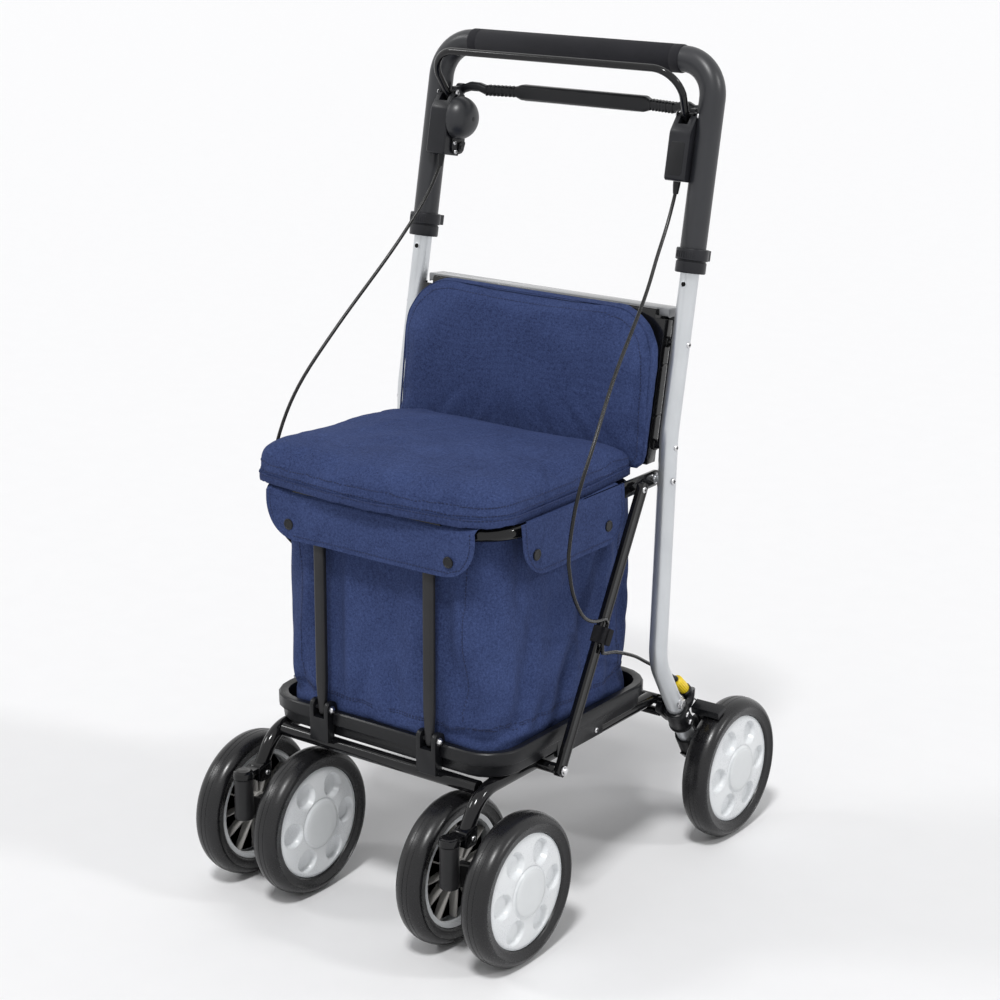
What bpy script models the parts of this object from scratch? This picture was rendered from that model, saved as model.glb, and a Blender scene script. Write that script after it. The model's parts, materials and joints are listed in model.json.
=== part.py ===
# Folding shopping rollator with a telescoping handle, a padded seat over a cloth bag, twin swivelling
# front wheels and braked rear wheels. Metres, +Z up, the front faces -Y, the origin is on the floor
# under the middle of the object. Each object's origin lies where the real piece turns or seats.

from math import cos, pi, radians, sin, tan

import bmesh
import bpy
from mathutils import Vector

# General clearances
GAP = 0.0003
SLIDE_GAP = 0.0005
LEFT = -1
RIGHT = 1

# Wheels
WHEEL_RADIUS = 0.085
WHEEL_SIDES = 24
TYRE_WIDTH = 0.033
TYRE_BEAD_WIDTH = 0.025
TYRE_TREAD = 0.006
TYRE_SHOULDER = 0.014
HUB_RADIUS = 0.0638
HUB_FACE = 0.0150
HUB_CAP_RADIUS = 0.0262
HUB_CAP_RISE = 0.0045
HUB_WEB = 0.0060
HUB_BOSS_RADIUS = 0.0130
DIMPLES = 6
DIMPLE_RING = 0.0445
DIMPLE_RADIUS = 0.0135
DIMPLE_DEPTH = 0.0042
AXLE_RADIUS = 0.0040
AXLE_DEPTH = 0.0115
AXLE_Z = WHEEL_RADIUS * cos(pi / WHEEL_SIDES)
WHEELBASE = 0.4090
REAR_AXLE_Y = 0.2045
FRONT_AXLE_Y = REAR_AXLE_Y - WHEELBASE
REAR_WHEEL_X = 0.1980
CASTER_X = 0.1440
TWIN_OFFSET = 0.0430

# Uprights
UPRIGHT_RADIUS = 0.0105
UPRIGHT_X = 0.1840
UPRIGHT_SIDES = 12
KICK_Y = 0.0655
KICK_Z = 0.2550
KNEE_Y = 0.0792
KNEE_Z = 0.5170
HANDLE_LEAN = radians(11.4)
FOOT_X = 0.1610
FOOT_Y = 0.1800
FOOT_Z = 0.1074
KICK_BEND = 0.0550
KNEE_BEND = 0.1200
HOLE_RADIUS = 0.0026
HOLE_Z = 0.6786
HOLE_PITCH = 0.0250
HOLES = 3

# Fold linkage pivots, as places in the side view
BASE_PIVOT = (0.1165, 0.1870)
SEAT_PIVOT = (0.0740, 0.4665)
SEAT_FRONT = (-0.2076, 0.4660)
POST_PIVOT = (-0.2093, 0.2278)
STRUT_TOP = (0.0340, 0.4645)
STRUT_FOOT = (-0.1160, 0.1870)

# Handle
HANDLE_RADIUS = 0.0145
HANDLE_SIDES = 16
HANDLE_BOTTOM_Z = 0.7090
HANDLE_RISE = 0.2046
HANDLE_TOP_Z = HANDLE_BOTTOM_Z + HANDLE_RISE
HANDLE_TOP_Y = KNEE_Y + (HANDLE_TOP_Z - KNEE_Z) * tan(HANDLE_LEAN)
HANDLE_BEND = 0.0405
HANDLE_BORE_TOP_Z = HANDLE_TOP_Z - 0.0686
UPRIGHT_TOP_Z = HANDLE_BORE_TOP_Z - 0.0450
GRIP_RADIUS = 0.0155
GRIP_HALF = 0.1425
GRIP_WALL = 0.0030
COLLAR_RADIUS = 0.0168
COLLAR_BAND = 0.0180
COLLAR_BOTTOM_Z = 0.6908
COLLAR_GROOVE_Z = 0.7032
COLLAR_TOP_Z = 0.7172
COLLAR_SEAT = 0.0060
KNOB_WIDTH = 0.0180
KNOB_REACH = 0.0265

# Brake controls on the handle
HOUSING_INNER_X = 0.1500
HOUSING_OUTER_X = 0.1760
HOUSING_BOTTOM_Z = HANDLE_TOP_Z - 0.1286
HOUSING_TOP_Z = HANDLE_TOP_Z - 0.0596
HOUSING_FRONT = 0.0245
LOOP_RADIUS = 0.0042
LOOP_PIVOT = (0.1616, HANDLE_TOP_Y - 0.0224, HANDLE_TOP_Z - 0.0565)
LOOP_KNEE = (0.1655, HANDLE_TOP_Y - 0.0377, HANDLE_TOP_Z - 0.0336)
LOOP_TOP = (0.1655, HANDLE_TOP_Y - 0.0507, HANDLE_TOP_Z - 0.0056)
LOOP_BEND = 0.0320
LOOP_SPREAD = 0.0025
PARK_Z = HANDLE_TOP_Z - 0.0546
PARK_HOOK = (0.1565, HANDLE_TOP_Y + 0.0008, PARK_Z)
PARK_NECK = (0.1290, HANDLE_TOP_Y + 0.0063, PARK_Z)
PARK_BAR = (0.0860, HANDLE_TOP_Y + 0.0153, PARK_Z)
PARK_LUG_X = (0.1587, 0.1658)
PARK_THIN = 0.0105
PARK_THICK = 0.0165
PARK_DEPTH = 0.0120
PARK_RIBS = 4

# Bell
BELL_RADIUS = 0.0250
BELL_HEIGHT = 0.0215
BELL_WALL = 0.0012
BELL_Y = HANDLE_TOP_Y - 0.0232
BELL_Z = HANDLE_TOP_Z - 0.0846
BELL_PLATE = 0.0020

# Rear brackets, brakes and cables
SLEEVE_RADIUS = 0.0140
SLEEVE_TOP = 0.5100
SLEEVE_BOTTOM = 0.7000
HOLDER_TOP = 0.8300
ADJUSTER = (0.1680, 0.1310, 0.2100)
ADJUSTER_LOW = (0.1680, 0.1490, 0.1930)
ADJUSTER_RADIUS = 0.0070
CABLE_RADIUS = 0.00225
CABLE_POINTS = 42
BRACE_RADIUS = 0.0050
BRACE_OFFSET = (0.0060, -0.0180)
EAR_INNER_X = 0.1535
EAR_THICK = 0.0070
BRAKE_PIVOT = (0.1745, 0.1897, 0.1410)
BRAKE_PIN = 0.0030
BRAKE_ARM = 0.0055
SHOE_ANGLE = radians(66)
SHOE_GAP = 0.0018
SHOE_THICK = 0.0080
SHOE_LENGTH = 0.0180
SHOE_OUTER_X = 0.2085
PIVOT_TUBE_RADIUS = 0.0060

# Base
LEG_RADIUS = 0.0080
LEG_X = CASTER_X
LEG_BEND_Y = -0.2123
LEG_BEND = 0.0450
LEG_END = (-0.2430, 0.1416)
LEG_SIDES = 10
CROSSBAR = (-0.2040, 0.1860)
TRAY_HALF = 0.1650
TRAY_FRONT = -0.2085
TRAY_REAR = 0.0980
TRAY_TOP = 0.2255
TRAY_FLOOR = 0.1985
TRAY_LIP = 0.0110
TRAY_WALL = 0.0030
TRAY_RIM = 0.0150
TRAY_CORNER = 0.0450
POST_X = 0.0747
POST_WIDTH = 0.0140
POST_DEPTH = 0.0090
POST_TOP_ROOM = 0.0035
POST_PIN = 0.0025
CLIP_FRONT = -0.2165
CLIP_REAR = -0.2000
CLIP_TOP = 0.2370
CLIP_SLOT_Z = 0.2180
TRAY_NOTCH_Z = 0.2050
CLIP_WIDTH = 0.0260
STRUT_X = 0.1790
STRUT_WIDTH = 0.0150
STRUT_THICK = 0.0080
STUB_RADIUS = 0.0060
STRUT_PIN = 0.0030
STRAP_PLACE = 0.4780
STRAP_LENGTH = 0.0180
STRAP_WALL = 0.0015

# Seat and back
HOOP_RADIUS = 0.0080
HOOP_X = 0.1605
HOOP_CORNER = 0.0500
ARM_INNER_X = 0.1676
ARM_THICK = 0.0030
ARM_HEIGHT = 0.0180
ARM_REACH_REAR = -0.0260
ARM_REACH_FRONT = -0.0660
SEAT_PIN = 0.0040
SEAT_HALF = 0.1630
SEAT_BOTTOM = 0.4755
SEAT_EDGE = 0.5090
SEAT_CROWN = 0.5200
SEAT_REAR = 0.0220
SEAT_FRONT_SIDE = -0.2120
SEAT_FRONT_MID = -0.2265
SEAT_HINGE = (-0.2196, 0.4740)
SEAT_HINGE_RADIUS = 0.0012
SEAT_HINGE_HALF = 0.1000
SEAT_CORNER = 0.0550
BOARD_THICK = 0.0060
BACKREST_HALF = 0.1665
BACKREST_OFFSET = 0.0245
BACKREST_THICK = 0.0250
BACKREST_BOTTOM = 0.4870
BACKREST_TOP = 0.6570
BACKREST_CORNER = 0.0380
PANEL_TOP_Z = 0.6513
PANEL_OFFSET = 0.0115
PANEL_REAR = (0.1312, 0.6419)
PANEL_TAIL = (0.1088, 0.5350)
PANEL_CHANNEL_X = UPRIGHT_X - UPRIGHT_RADIUS - 0.0063
PANEL_CHANNEL_WIDTH = 0.0132
PANEL_HALF = PANEL_CHANNEL_X - PANEL_CHANNEL_WIDTH
PANEL_CHANNEL_BOTTOM = 0.4840
PANEL_STUD = 0.0040
PANEL_STUD_LOW_Z = 0.5038
PANEL_STUD_HIGH_Z = 0.6150
BAG_HALF = 0.1480
BAG_FRONT = -0.1965
BAG_REAR = 0.0840
BAG_BOTTOM = 0.2020
BAG_TOP = 0.4560
BAG_WALL = 0.0030
BAG_CORNER = 0.0400
FLAP_THICK = 0.0020
FLAP_TOP_Z = 0.4745
FRONT_FLAP_HALF = 0.1427
FRONT_FLAP_Z = (0.4180, 0.4520)
FRONT_FLAP_CORNER = 0.0200
SIDE_FLAP_CORNERS = ((-0.1790, 0.4775), (-0.1690, 0.4160), (0.0137, 0.4130), (0.0090, 0.4740))
SIDE_FLAP_RADII = (0.0030, 0.0260, 0.0220, 0.0030)
SIDE_FLAP_X = 0.1711

# Casters
SWIVEL_Y = -0.2655
SWIVEL_RADIUS = 0.0100
SWIVEL_BOTTOM_Z = 0.0965
SWIVEL_TOP_Z = 0.1460
SWIVEL_PIN = 0.0045
FORK_BOSS = 0.0110
FORK_HALF = 0.0325


# Scene and materials

def clear_scene():
    for obj in list(bpy.data.objects):
        bpy.data.objects.remove(obj)


def paint(name, colour, roughness, metallic=0.0):
    material = bpy.data.materials.new(name)
    material.use_nodes = True
    shader = material.node_tree.nodes["Principled BSDF"]
    shader.inputs["Base Color"].default_value = (*colour, 1.0)
    shader.inputs["Roughness"].default_value = roughness
    shader.inputs["Metallic"].default_value = metallic
    material.diffuse_color = (*colour, 1.0)
    return material


def make_materials():
    return {
        "silver": paint("silver_tube", (0.62, 0.66, 0.68), 0.35, 0.7),
        "gloss": paint("gloss_black_steel", (0.012, 0.012, 0.015), 0.18),
        "matt": paint("matt_black_aluminium", (0.030, 0.031, 0.037), 0.45),
        "plastic": paint("black_plastic", (0.022, 0.022, 0.025), 0.5),
        "foam": paint("charcoal_foam", (0.045, 0.046, 0.055), 0.9),
        "fabric": paint("navy_fabric", (0.035, 0.048, 0.125), 0.95),
        "board": paint("seat_board", (0.05, 0.05, 0.05), 0.8),
        "rubber": paint("black_rubber", (0.030, 0.030, 0.034), 0.55),
        "hub": paint("pale_grey_hub", (0.62, 0.65, 0.67), 0.4),
        "yellow": paint("yellow_plastic", (0.90, 0.62, 0.01), 0.4),
        "cable": paint("cable_sheath", (0.025, 0.025, 0.028), 0.35),
        "strap": paint("charcoal_strap", (0.035, 0.035, 0.040), 0.9),
    }


# Building blocks: every shape is made in place, then moved to its object's own origin

def world_of(obj):
    place = obj.location.copy()
    while obj.parent:
        obj = obj.parent
        place += obj.location
    return place


def pivot(name, place, parent=None):
    empty = bpy.data.objects.new(name, None)
    empty.empty_display_size = 0.02
    bpy.context.collection.objects.link(empty)
    empty.parent = parent
    empty.location = Vector(place) - (world_of(parent) if parent else Vector())
    return empty


def make(name, shape, material, place=(0, 0, 0), parent=None, sharp=35):
    """Turn a shape into a named object whose origin is at place."""
    bmesh.ops.recalc_face_normals(shape, faces=shape.faces)
    bmesh.ops.translate(shape, verts=shape.verts, vec=-Vector(place))
    mesh = bpy.data.meshes.new(name)
    shape.to_mesh(mesh)
    shape.free()
    return show(name, mesh, material, place, parent, sharp)


def show(name, mesh, material, place, parent=None, sharp=35):
    if not mesh.materials:
        mesh.materials.append(material)
    mesh.shade_smooth()
    mesh.set_sharp_from_angle(angle=radians(sharp))
    obj = bpy.data.objects.new(name, mesh)
    bpy.context.collection.objects.link(obj)
    obj.parent = parent
    obj.location = Vector(place) - (world_of(parent) if parent else Vector())
    return obj


def loft(rings, closed=False):
    """Skin rings of equal length; the ends are capped, or joined when the loft closes on itself."""
    shape = bmesh.new()
    loops = [[shape.verts.new(p) for p in ring] for ring in rings]
    size = len(loops[0])
    pairs = list(zip(loops, loops[1:]))
    if closed:
        pairs.append((loops[-1], loops[0]))
    for low, high in pairs:
        for i in range(size):
            j = (i + 1) % size
            shape.faces.new((low[i], low[j], high[j], high[i]))
    if not closed:
        shape.faces.new(list(reversed(loops[0])))
        shape.faces.new(loops[-1])
    return shape


def boolean(body, tool, operation):
    """Cut the tool out of the body, or weld it on, and give back the new shape."""
    pair = []
    for shape in (body, tool):
        bmesh.ops.recalc_face_normals(shape, faces=shape.faces)
        mesh = bpy.data.meshes.new("shape")
        shape.to_mesh(mesh)
        shape.free()
        obj = bpy.data.objects.new("shape", mesh)
        bpy.context.collection.objects.link(obj)
        pair.append(obj)
    modifier = pair[0].modifiers.new("boolean", "BOOLEAN")
    modifier.operation = operation
    modifier.solver = "EXACT"
    modifier.object = pair[1]
    bpy.context.view_layer.update()
    depsgraph = bpy.context.evaluated_depsgraph_get()
    result = bmesh.new()
    result.from_mesh(pair[0].evaluated_get(depsgraph).data)
    for obj in pair:
        bpy.data.objects.remove(obj)
    bmesh.ops.remove_doubles(result, verts=result.verts, dist=0.00001)
    bmesh.ops.dissolve_degenerate(result, edges=result.edges, dist=0.000005)
    return result


def weld(body, *tools):
    for tool in tools:
        body = boolean(body, tool, "UNION")
    return body


def cut(body, *tools):
    for tool in tools:
        body = boolean(body, tool, "DIFFERENCE")
    return body


# Paths and sections

def bend_path(corners, radii, steps=5):
    """Straight runs through the corners, joined by round bends."""
    corners = [Vector(c) for c in corners]
    if not isinstance(radii, (list, tuple)):
        radii = [radii] * (len(corners) - 2)
    path = [corners[0]]
    for before, corner, after, radius in zip(corners, corners[1:], corners[2:], radii):
        way_in = (corner - before).normalized()
        way_out = (after - corner).normalized()
        turn = way_in.angle(way_out)
        start = corner - way_in * radius * tan(turn / 2)
        inward = (way_out - way_in * way_in.dot(way_out)).normalized()
        centre = start + inward * radius
        for k in range(steps + 1):
            angle = turn * k / steps
            path.append(centre - inward * radius * cos(angle) + way_in * radius * sin(angle))
    path.append(corners[-1])
    return path


def frames_along(path, normal):
    """A place, a side and a height direction for each point, carried along without twist."""
    frames = []
    side = Vector(normal)
    last = len(path) - 1
    for i, point in enumerate(path):
        ahead = (path[min(i + 1, last)] - point).normalized() if i < last else Vector()
        behind = (point - path[i - 1]).normalized() if i else Vector()
        along = (ahead + behind).normalized()
        side = (side - along * side.dot(along)).normalized()
        frames.append((point, side, along.cross(side)))
    return frames


def circle(radius, sides, turn=0.0):
    return [(radius * cos(2 * pi * (k + turn) / sides), radius * sin(2 * pi * (k + turn) / sides))
            for k in range(sides)]


def stadium(width, thick, steps=3):
    """A flat oval: straight sides with round ends."""
    radius = thick / 2
    run = width / 2 - radius
    points = []
    for end in (1, -1):
        for k in range(steps + 1):
            angle = pi * k / steps - pi / 2
            points.append((end * (run + radius * cos(angle)), end * radius * sin(angle)))
    return points


def sweep(path, sections, normal=(1, 0, 0)):
    """Carry one section, or one section for each point, along a path."""
    if isinstance(sections[0][0], (int, float)):
        sections = [sections] * len(path)
    rings = []
    for (point, side, height), section in zip(frames_along(path, normal), sections):
        rings.append([point + side * a + height * b for a, b in section])
    return rings


def tube(path, radius, sides=12, normal=(1, 0, 0)):
    return loft(sweep(path, circle(radius, sides), normal))


def turned(profile, sides, centre, axis, closed=False, turn=0.5):
    """A turned body: the profile holds (distance along the axis, radius) pairs."""
    axis = Vector(axis).normalized()
    side = Vector((0, 0, 1)) if abs(axis.z) < 0.9 else Vector((1, 0, 0))
    side = (side - axis * side.dot(axis)).normalized()
    height = axis.cross(side)
    centre = Vector(centre)
    rings = []
    for along, radius in profile:
        rings.append([centre + axis * along + side * a + height * b
                      for a, b in circle(radius, sides, turn)])
    return loft(rings, closed)


def rod(start, end, radius, sides=12):
    start = Vector(start)
    axis = Vector(end) - start
    return turned([(0, radius), (axis.length, radius)], sides, start, axis)


def plate(outline, low, high, plane="side"):
    """Extrude an outline: side outlines are (y, z) along X, front ones (x, z) along Y, flat (x, y)."""
    lift = {
        "side": lambda a, b, c: (c, a, b),
        "front": lambda a, b, c: (a, c, b),
        "flat": lambda a, b, c: (a, b, c),
    }[plane]
    return loft([[lift(a, b, level) for a, b in outline] for level in (low, high)])


def block(low, high):
    (x0, y0, z0), (x1, y1, z1) = low, high
    return plate([(x0, y0), (x1, y0), (x1, y1), (x0, y1)], z0, z1, "flat")


def round_outline(corners, radii, steps=4):
    """A closed outline with round corners; radii may be one value or one for each corner."""
    count = len(corners)
    if not isinstance(radii, (list, tuple)):
        radii = [radii] * count
    points = []
    for i, radius in enumerate(radii):
        before, corner, after = corners[i - 1], corners[i], corners[(i + 1) % count]
        if radius <= 0:
            points.append(tuple(corner))
            continue
        arc = bend_path([(*before, 0), (*corner, 0), (*after, 0)], radius, steps)[1:-1]
        points.extend((p.x, p.y) for p in arc)
    return points


def mirrored(points, side):
    return [(side * p[0], *p[1:]) for p in points]


def smooth_route(points, count):
    """Read evenly spaced points from a smooth curve through the route's own points."""
    points = [Vector(p) for p in points]
    ends = [points[0] * 2 - points[1], *points, points[-1] * 2 - points[-2]]
    fine = []
    for a, b, c, d in zip(ends, ends[1:], ends[2:], ends[3:]):
        for k in range(12):
            t = k / 12
            fine.append(0.5 * (2 * b + (c - a) * t + (2 * a - 5 * b + 4 * c - d) * t * t
                               + (3 * b - a - 3 * c + d) * t ** 3))
    fine.append(points[-1])
    reach = [0.0]
    for a, b in zip(fine, fine[1:]):
        reach.append(reach[-1] + (b - a).length)
    route = []
    k = 0
    for i in range(count):
        want = reach[-1] * i / (count - 1)
        while k < len(fine) - 2 and reach[k + 1] < want:
            k += 1
        share = (want - reach[k]) / (reach[k + 1] - reach[k])
        route.append(fine[k].lerp(fine[k + 1], share))
    return route


# Places worked out from the driving dimensions

HANDLE_AXIS = Vector((0, sin(HANDLE_LEAN), cos(HANDLE_LEAN)))
HANDLE_FRONT = Vector((0, -cos(HANDLE_LEAN), sin(HANDLE_LEAN)))


def on_upright(z):
    """Where the upper run of the uprights lies at a height."""
    return KNEE_Y + (z - KNEE_Z) * tan(HANDLE_LEAN)


def handle_point(x, z, forward=0.0):
    """A point in the plane of the handle tube, or in front of it."""
    return Vector((x, on_upright(z), z)) + HANDLE_FRONT * forward


def upright_corners(side):
    return [
        Vector((side * UPRIGHT_X, on_upright(UPRIGHT_TOP_Z), UPRIGHT_TOP_Z)),
        Vector((side * UPRIGHT_X, KNEE_Y, KNEE_Z)),
        Vector((side * UPRIGHT_X, KICK_Y, KICK_Z)),
        Vector((side * FOOT_X, FOOT_Y, FOOT_Z)),
    ]


def on_kick(side, share):
    """A point on the kicked-back foot of an upright, from the bend (0) to the end (1)."""
    corners = upright_corners(side)
    return corners[2].lerp(corners[3], share)


# Wheels

def tyre_shape():
    half = TYRE_WIDTH / 2
    bead = TYRE_BEAD_WIDTH / 2
    tread = TYRE_TREAD / 2
    right_side = []
    for k in range(3):
        angle = pi / 2 * k / 2
        right_side.append((tread + (half - tread) * sin(angle),
                           WHEEL_RADIUS - TYRE_SHOULDER * (1 - cos(angle))))
    right_side.append((bead, HUB_RADIUS + GAP))
    profile = [(-a, r) for a, r in reversed(right_side)] + right_side
    return turned(profile, WHEEL_SIDES, (0, 0, 0), (1, 0, 0), closed=True)


def hub_shape():
    """A one-piece hub: domed face with a raised cap, open back with a bearing boss, round dimples."""
    bead = TYRE_BEAD_WIDTH / 2
    bore = AXLE_RADIUS + GAP
    cap = HUB_FACE + HUB_CAP_RISE / 2
    profile = [
        (AXLE_DEPTH + GAP, bore),
        (-bead + 0.003, bore),
        (-bead + 0.003, HUB_BOSS_RADIUS),
        (HUB_FACE - HUB_WEB, HUB_BOSS_RADIUS + 0.002),
        (bead - HUB_WEB, HUB_RADIUS - 0.0095),
        (-bead, HUB_RADIUS - 0.0055),
        (-bead, HUB_RADIUS),
        (bead, HUB_RADIUS),
        (HUB_FACE + 0.001, HUB_CAP_RADIUS),
        (cap, HUB_CAP_RADIUS - 0.002),
        (cap + 0.001, HUB_CAP_RADIUS * 0.45),
    ]
    shape = turned(profile, WHEEL_SIDES, (0, 0, 0), (1, 0, 0))
    face = (HUB_FACE + bead) / 2
    for k in range(DIMPLES):
        angle = 2 * pi * (k + 0.5) / DIMPLES
        centre = (0, DIMPLE_RING * sin(angle), DIMPLE_RING * cos(angle))
        dish = turned([(face + DIMPLE_DEPTH, DIMPLE_RADIUS * 1.25),
                       (face - DIMPLE_DEPTH, DIMPLE_RADIUS * 0.6)], 8, centre, (1, 0, 0))
        shape = cut(shape, dish)
    return shape


def add_wheel(name, x, y, face, meshes, materials, parent):
    """Tyre and hub of one wheel; face is the side that the domed face of the hub looks to."""
    spin = pivot(name + "_axis", (x, y, AXLE_Z), parent)
    for part, material in (("tyre", "rubber"), ("hub", "hub")):
        obj = show(f"{part}_{name}", meshes[part], materials[material], (x, y, AXLE_Z), spin)
        if face == LEFT:
            obj.rotation_euler = (0, 0, pi)


def wheel_meshes(materials):
    meshes = {}
    for part, shape, material in (("tyre", tyre_shape(), "rubber"), ("hub", hub_shape(), "hub")):
        bmesh.ops.recalc_face_normals(shape, faces=shape.faces)
        mesh = bpy.data.meshes.new(part)
        shape.to_mesh(mesh)
        shape.free()
        mesh.materials.append(materials[material])
        meshes[part] = mesh
    return meshes


# Casters

def fork_shape(side):
    """Swivel barrel, raking web, axle boss and axle of a twin-wheel caster."""
    x = side * CASTER_X
    barrel = turned([(SWIVEL_TOP_Z - 0.018, SWIVEL_PIN + GAP), (SWIVEL_TOP_Z, SWIVEL_PIN + GAP),
                     (SWIVEL_TOP_Z, SWIVEL_RADIUS), (SWIVEL_BOTTOM_Z + 0.002, SWIVEL_RADIUS),
                     (SWIVEL_BOTTOM_Z, SWIVEL_RADIUS - 0.002)],
                    16, (x, SWIVEL_Y, 0), (0, 0, 1))
    web_half = 0.0065
    web = plate([(SWIVEL_Y, SWIVEL_BOTTOM_Z + 0.003), (FRONT_AXLE_Y - 0.004, AXLE_Z - 0.009),
                 (FRONT_AXLE_Y + 0.003, AXLE_Z - 0.008), (FRONT_AXLE_Y + 0.006, AXLE_Z + 0.006),
                 (FRONT_AXLE_Y - 0.010, AXLE_Z + 0.016), (SWIVEL_Y, SWIVEL_TOP_Z - 0.021)],
                x - web_half, x + web_half)
    axle_place = (x, FRONT_AXLE_Y, AXLE_Z)
    boss = turned([(-FORK_HALF, FORK_BOSS), (FORK_HALF, FORK_BOSS)], 16, axle_place, (1, 0, 0))
    reach = TWIN_OFFSET + AXLE_DEPTH
    axle = turned([(-reach, AXLE_RADIUS), (reach, AXLE_RADIUS)], 12, axle_place, (1, 0, 0))
    return weld(barrel, web, boss, axle)


def add_caster(side, meshes, materials, parent):
    tag = "right" if side == RIGHT else "left"
    x = side * CASTER_X
    swivel = pivot(f"caster_{tag}_axis", (x, SWIVEL_Y, SWIVEL_TOP_Z), parent)
    make(f"caster_fork_{tag}", fork_shape(side), materials["matt"],
         (x, SWIVEL_Y, SWIVEL_TOP_Z), swivel)
    for row, offset in (("outer", side * TWIN_OFFSET), ("inner", -side * TWIN_OFFSET)):
        face = RIGHT if offset > 0 else LEFT
        add_wheel(f"front_{tag}_{row}", x + offset, FRONT_AXLE_Y, face, meshes, materials, swivel)


# Rear frame

def add_upright(side, materials):
    tag = "right" if side == RIGHT else "left"
    path = bend_path(upright_corners(side), [KNEE_BEND, KICK_BEND], 6)
    shape = tube(path, UPRIGHT_RADIUS, UPRIGHT_SIDES)
    for k in range(HOLES):
        centre = handle_point(side * UPRIGHT_X, HOLE_Z + k * HOLE_PITCH)
        hole = rod(centre + HANDLE_FRONT * 0.006, centre + HANDLE_FRONT * 0.016, HOLE_RADIUS, 10)
        shape = cut(shape, hole)
    pin_end = side * (ARM_INNER_X - 0.0010)
    seat_pin = rod((side * UPRIGHT_X, *SEAT_PIVOT), (pin_end, *SEAT_PIVOT), SEAT_PIN, 12)
    shape = weld(shape, seat_pin)
    make(f"upright_{tag}", shape, materials["silver"], (side * UPRIGHT_X, KICK_Y, KICK_Z))


def foot_bore(side):
    low = on_kick(side, -0.1)
    high = on_kick(side, 1.0)
    stop = high + (high - low).normalized() * SLIDE_GAP
    return rod(low, stop, UPRIGHT_RADIUS + GAP, UPRIGHT_SIDES)


def add_rear_bracket(side, materials):
    """Sleeve on the kicked foot with the ear of the pivot tube and the horn that holds the adjuster."""
    tag = "right" if side == RIGHT else "left"
    low = on_kick(side, SLEEVE_TOP)
    high = on_kick(side, SLEEVE_BOTTOM)
    sleeve = rod(low, high, SLEEVE_RADIUS, 16)
    ear = plate(round_outline([(BASE_PIVOT[0] - 0.009, BASE_PIVOT[1] - 0.010),
                               (BASE_PIVOT[0] + 0.020, BASE_PIVOT[1] - 0.034),
                               (BASE_PIVOT[0] + 0.034, BASE_PIVOT[1] - 0.026),
                               (BASE_PIVOT[0] + 0.009, BASE_PIVOT[1] + 0.010)], 0.006, 3),
                side * EAR_INNER_X, side * (EAR_INNER_X + EAR_THICK))
    tip = Vector(mirrored([ADJUSTER_LOW], side)[0])
    way = (tip - Vector(mirrored([ADJUSTER], side)[0])).normalized()
    horn = bend_path([low.lerp(high, 0.20), Vector((tip.x, 0.160, 0.172)),
                      tip + way * 0.0085 + Vector((0, 0.006, 0.002))], 0.010, 4)
    horn_shape = loft(sweep(horn, [(a * 0.0062, b * 0.0085) for a, b in circle(1, 10)]))
    cup = turned([(GAP, ADJUSTER_RADIUS + 0.001), (0.0080, ADJUSTER_RADIUS + 0.001),
                  (0.0100, ADJUSTER_RADIUS - 0.001)], 12, tip, way)
    shape = weld(sleeve, ear, horn_shape, cup)
    bore = rod((side * 0.1, *BASE_PIVOT), (side * (EAR_INNER_X + EAR_THICK + 0.002), *BASE_PIVOT),
               AXLE_RADIUS + GAP, 12)
    shape = cut(shape, foot_bore(side), bore)
    make(f"rear_bracket_{tag}", shape, materials["plastic"], (side * FOOT_X, *BASE_PIVOT))
    adjuster = turned([(0, ADJUSTER_RADIUS * 0.6), (0.002, ADJUSTER_RADIUS),
                       ((tip - Vector(mirrored([ADJUSTER], side)[0])).length, ADJUSTER_RADIUS)],
                      12, mirrored([ADJUSTER], side)[0], way)
    make(f"cable_adjuster_{tag}", adjuster, materials["yellow"], mirrored([ADJUSTER], side)[0], sharp=20)


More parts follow.
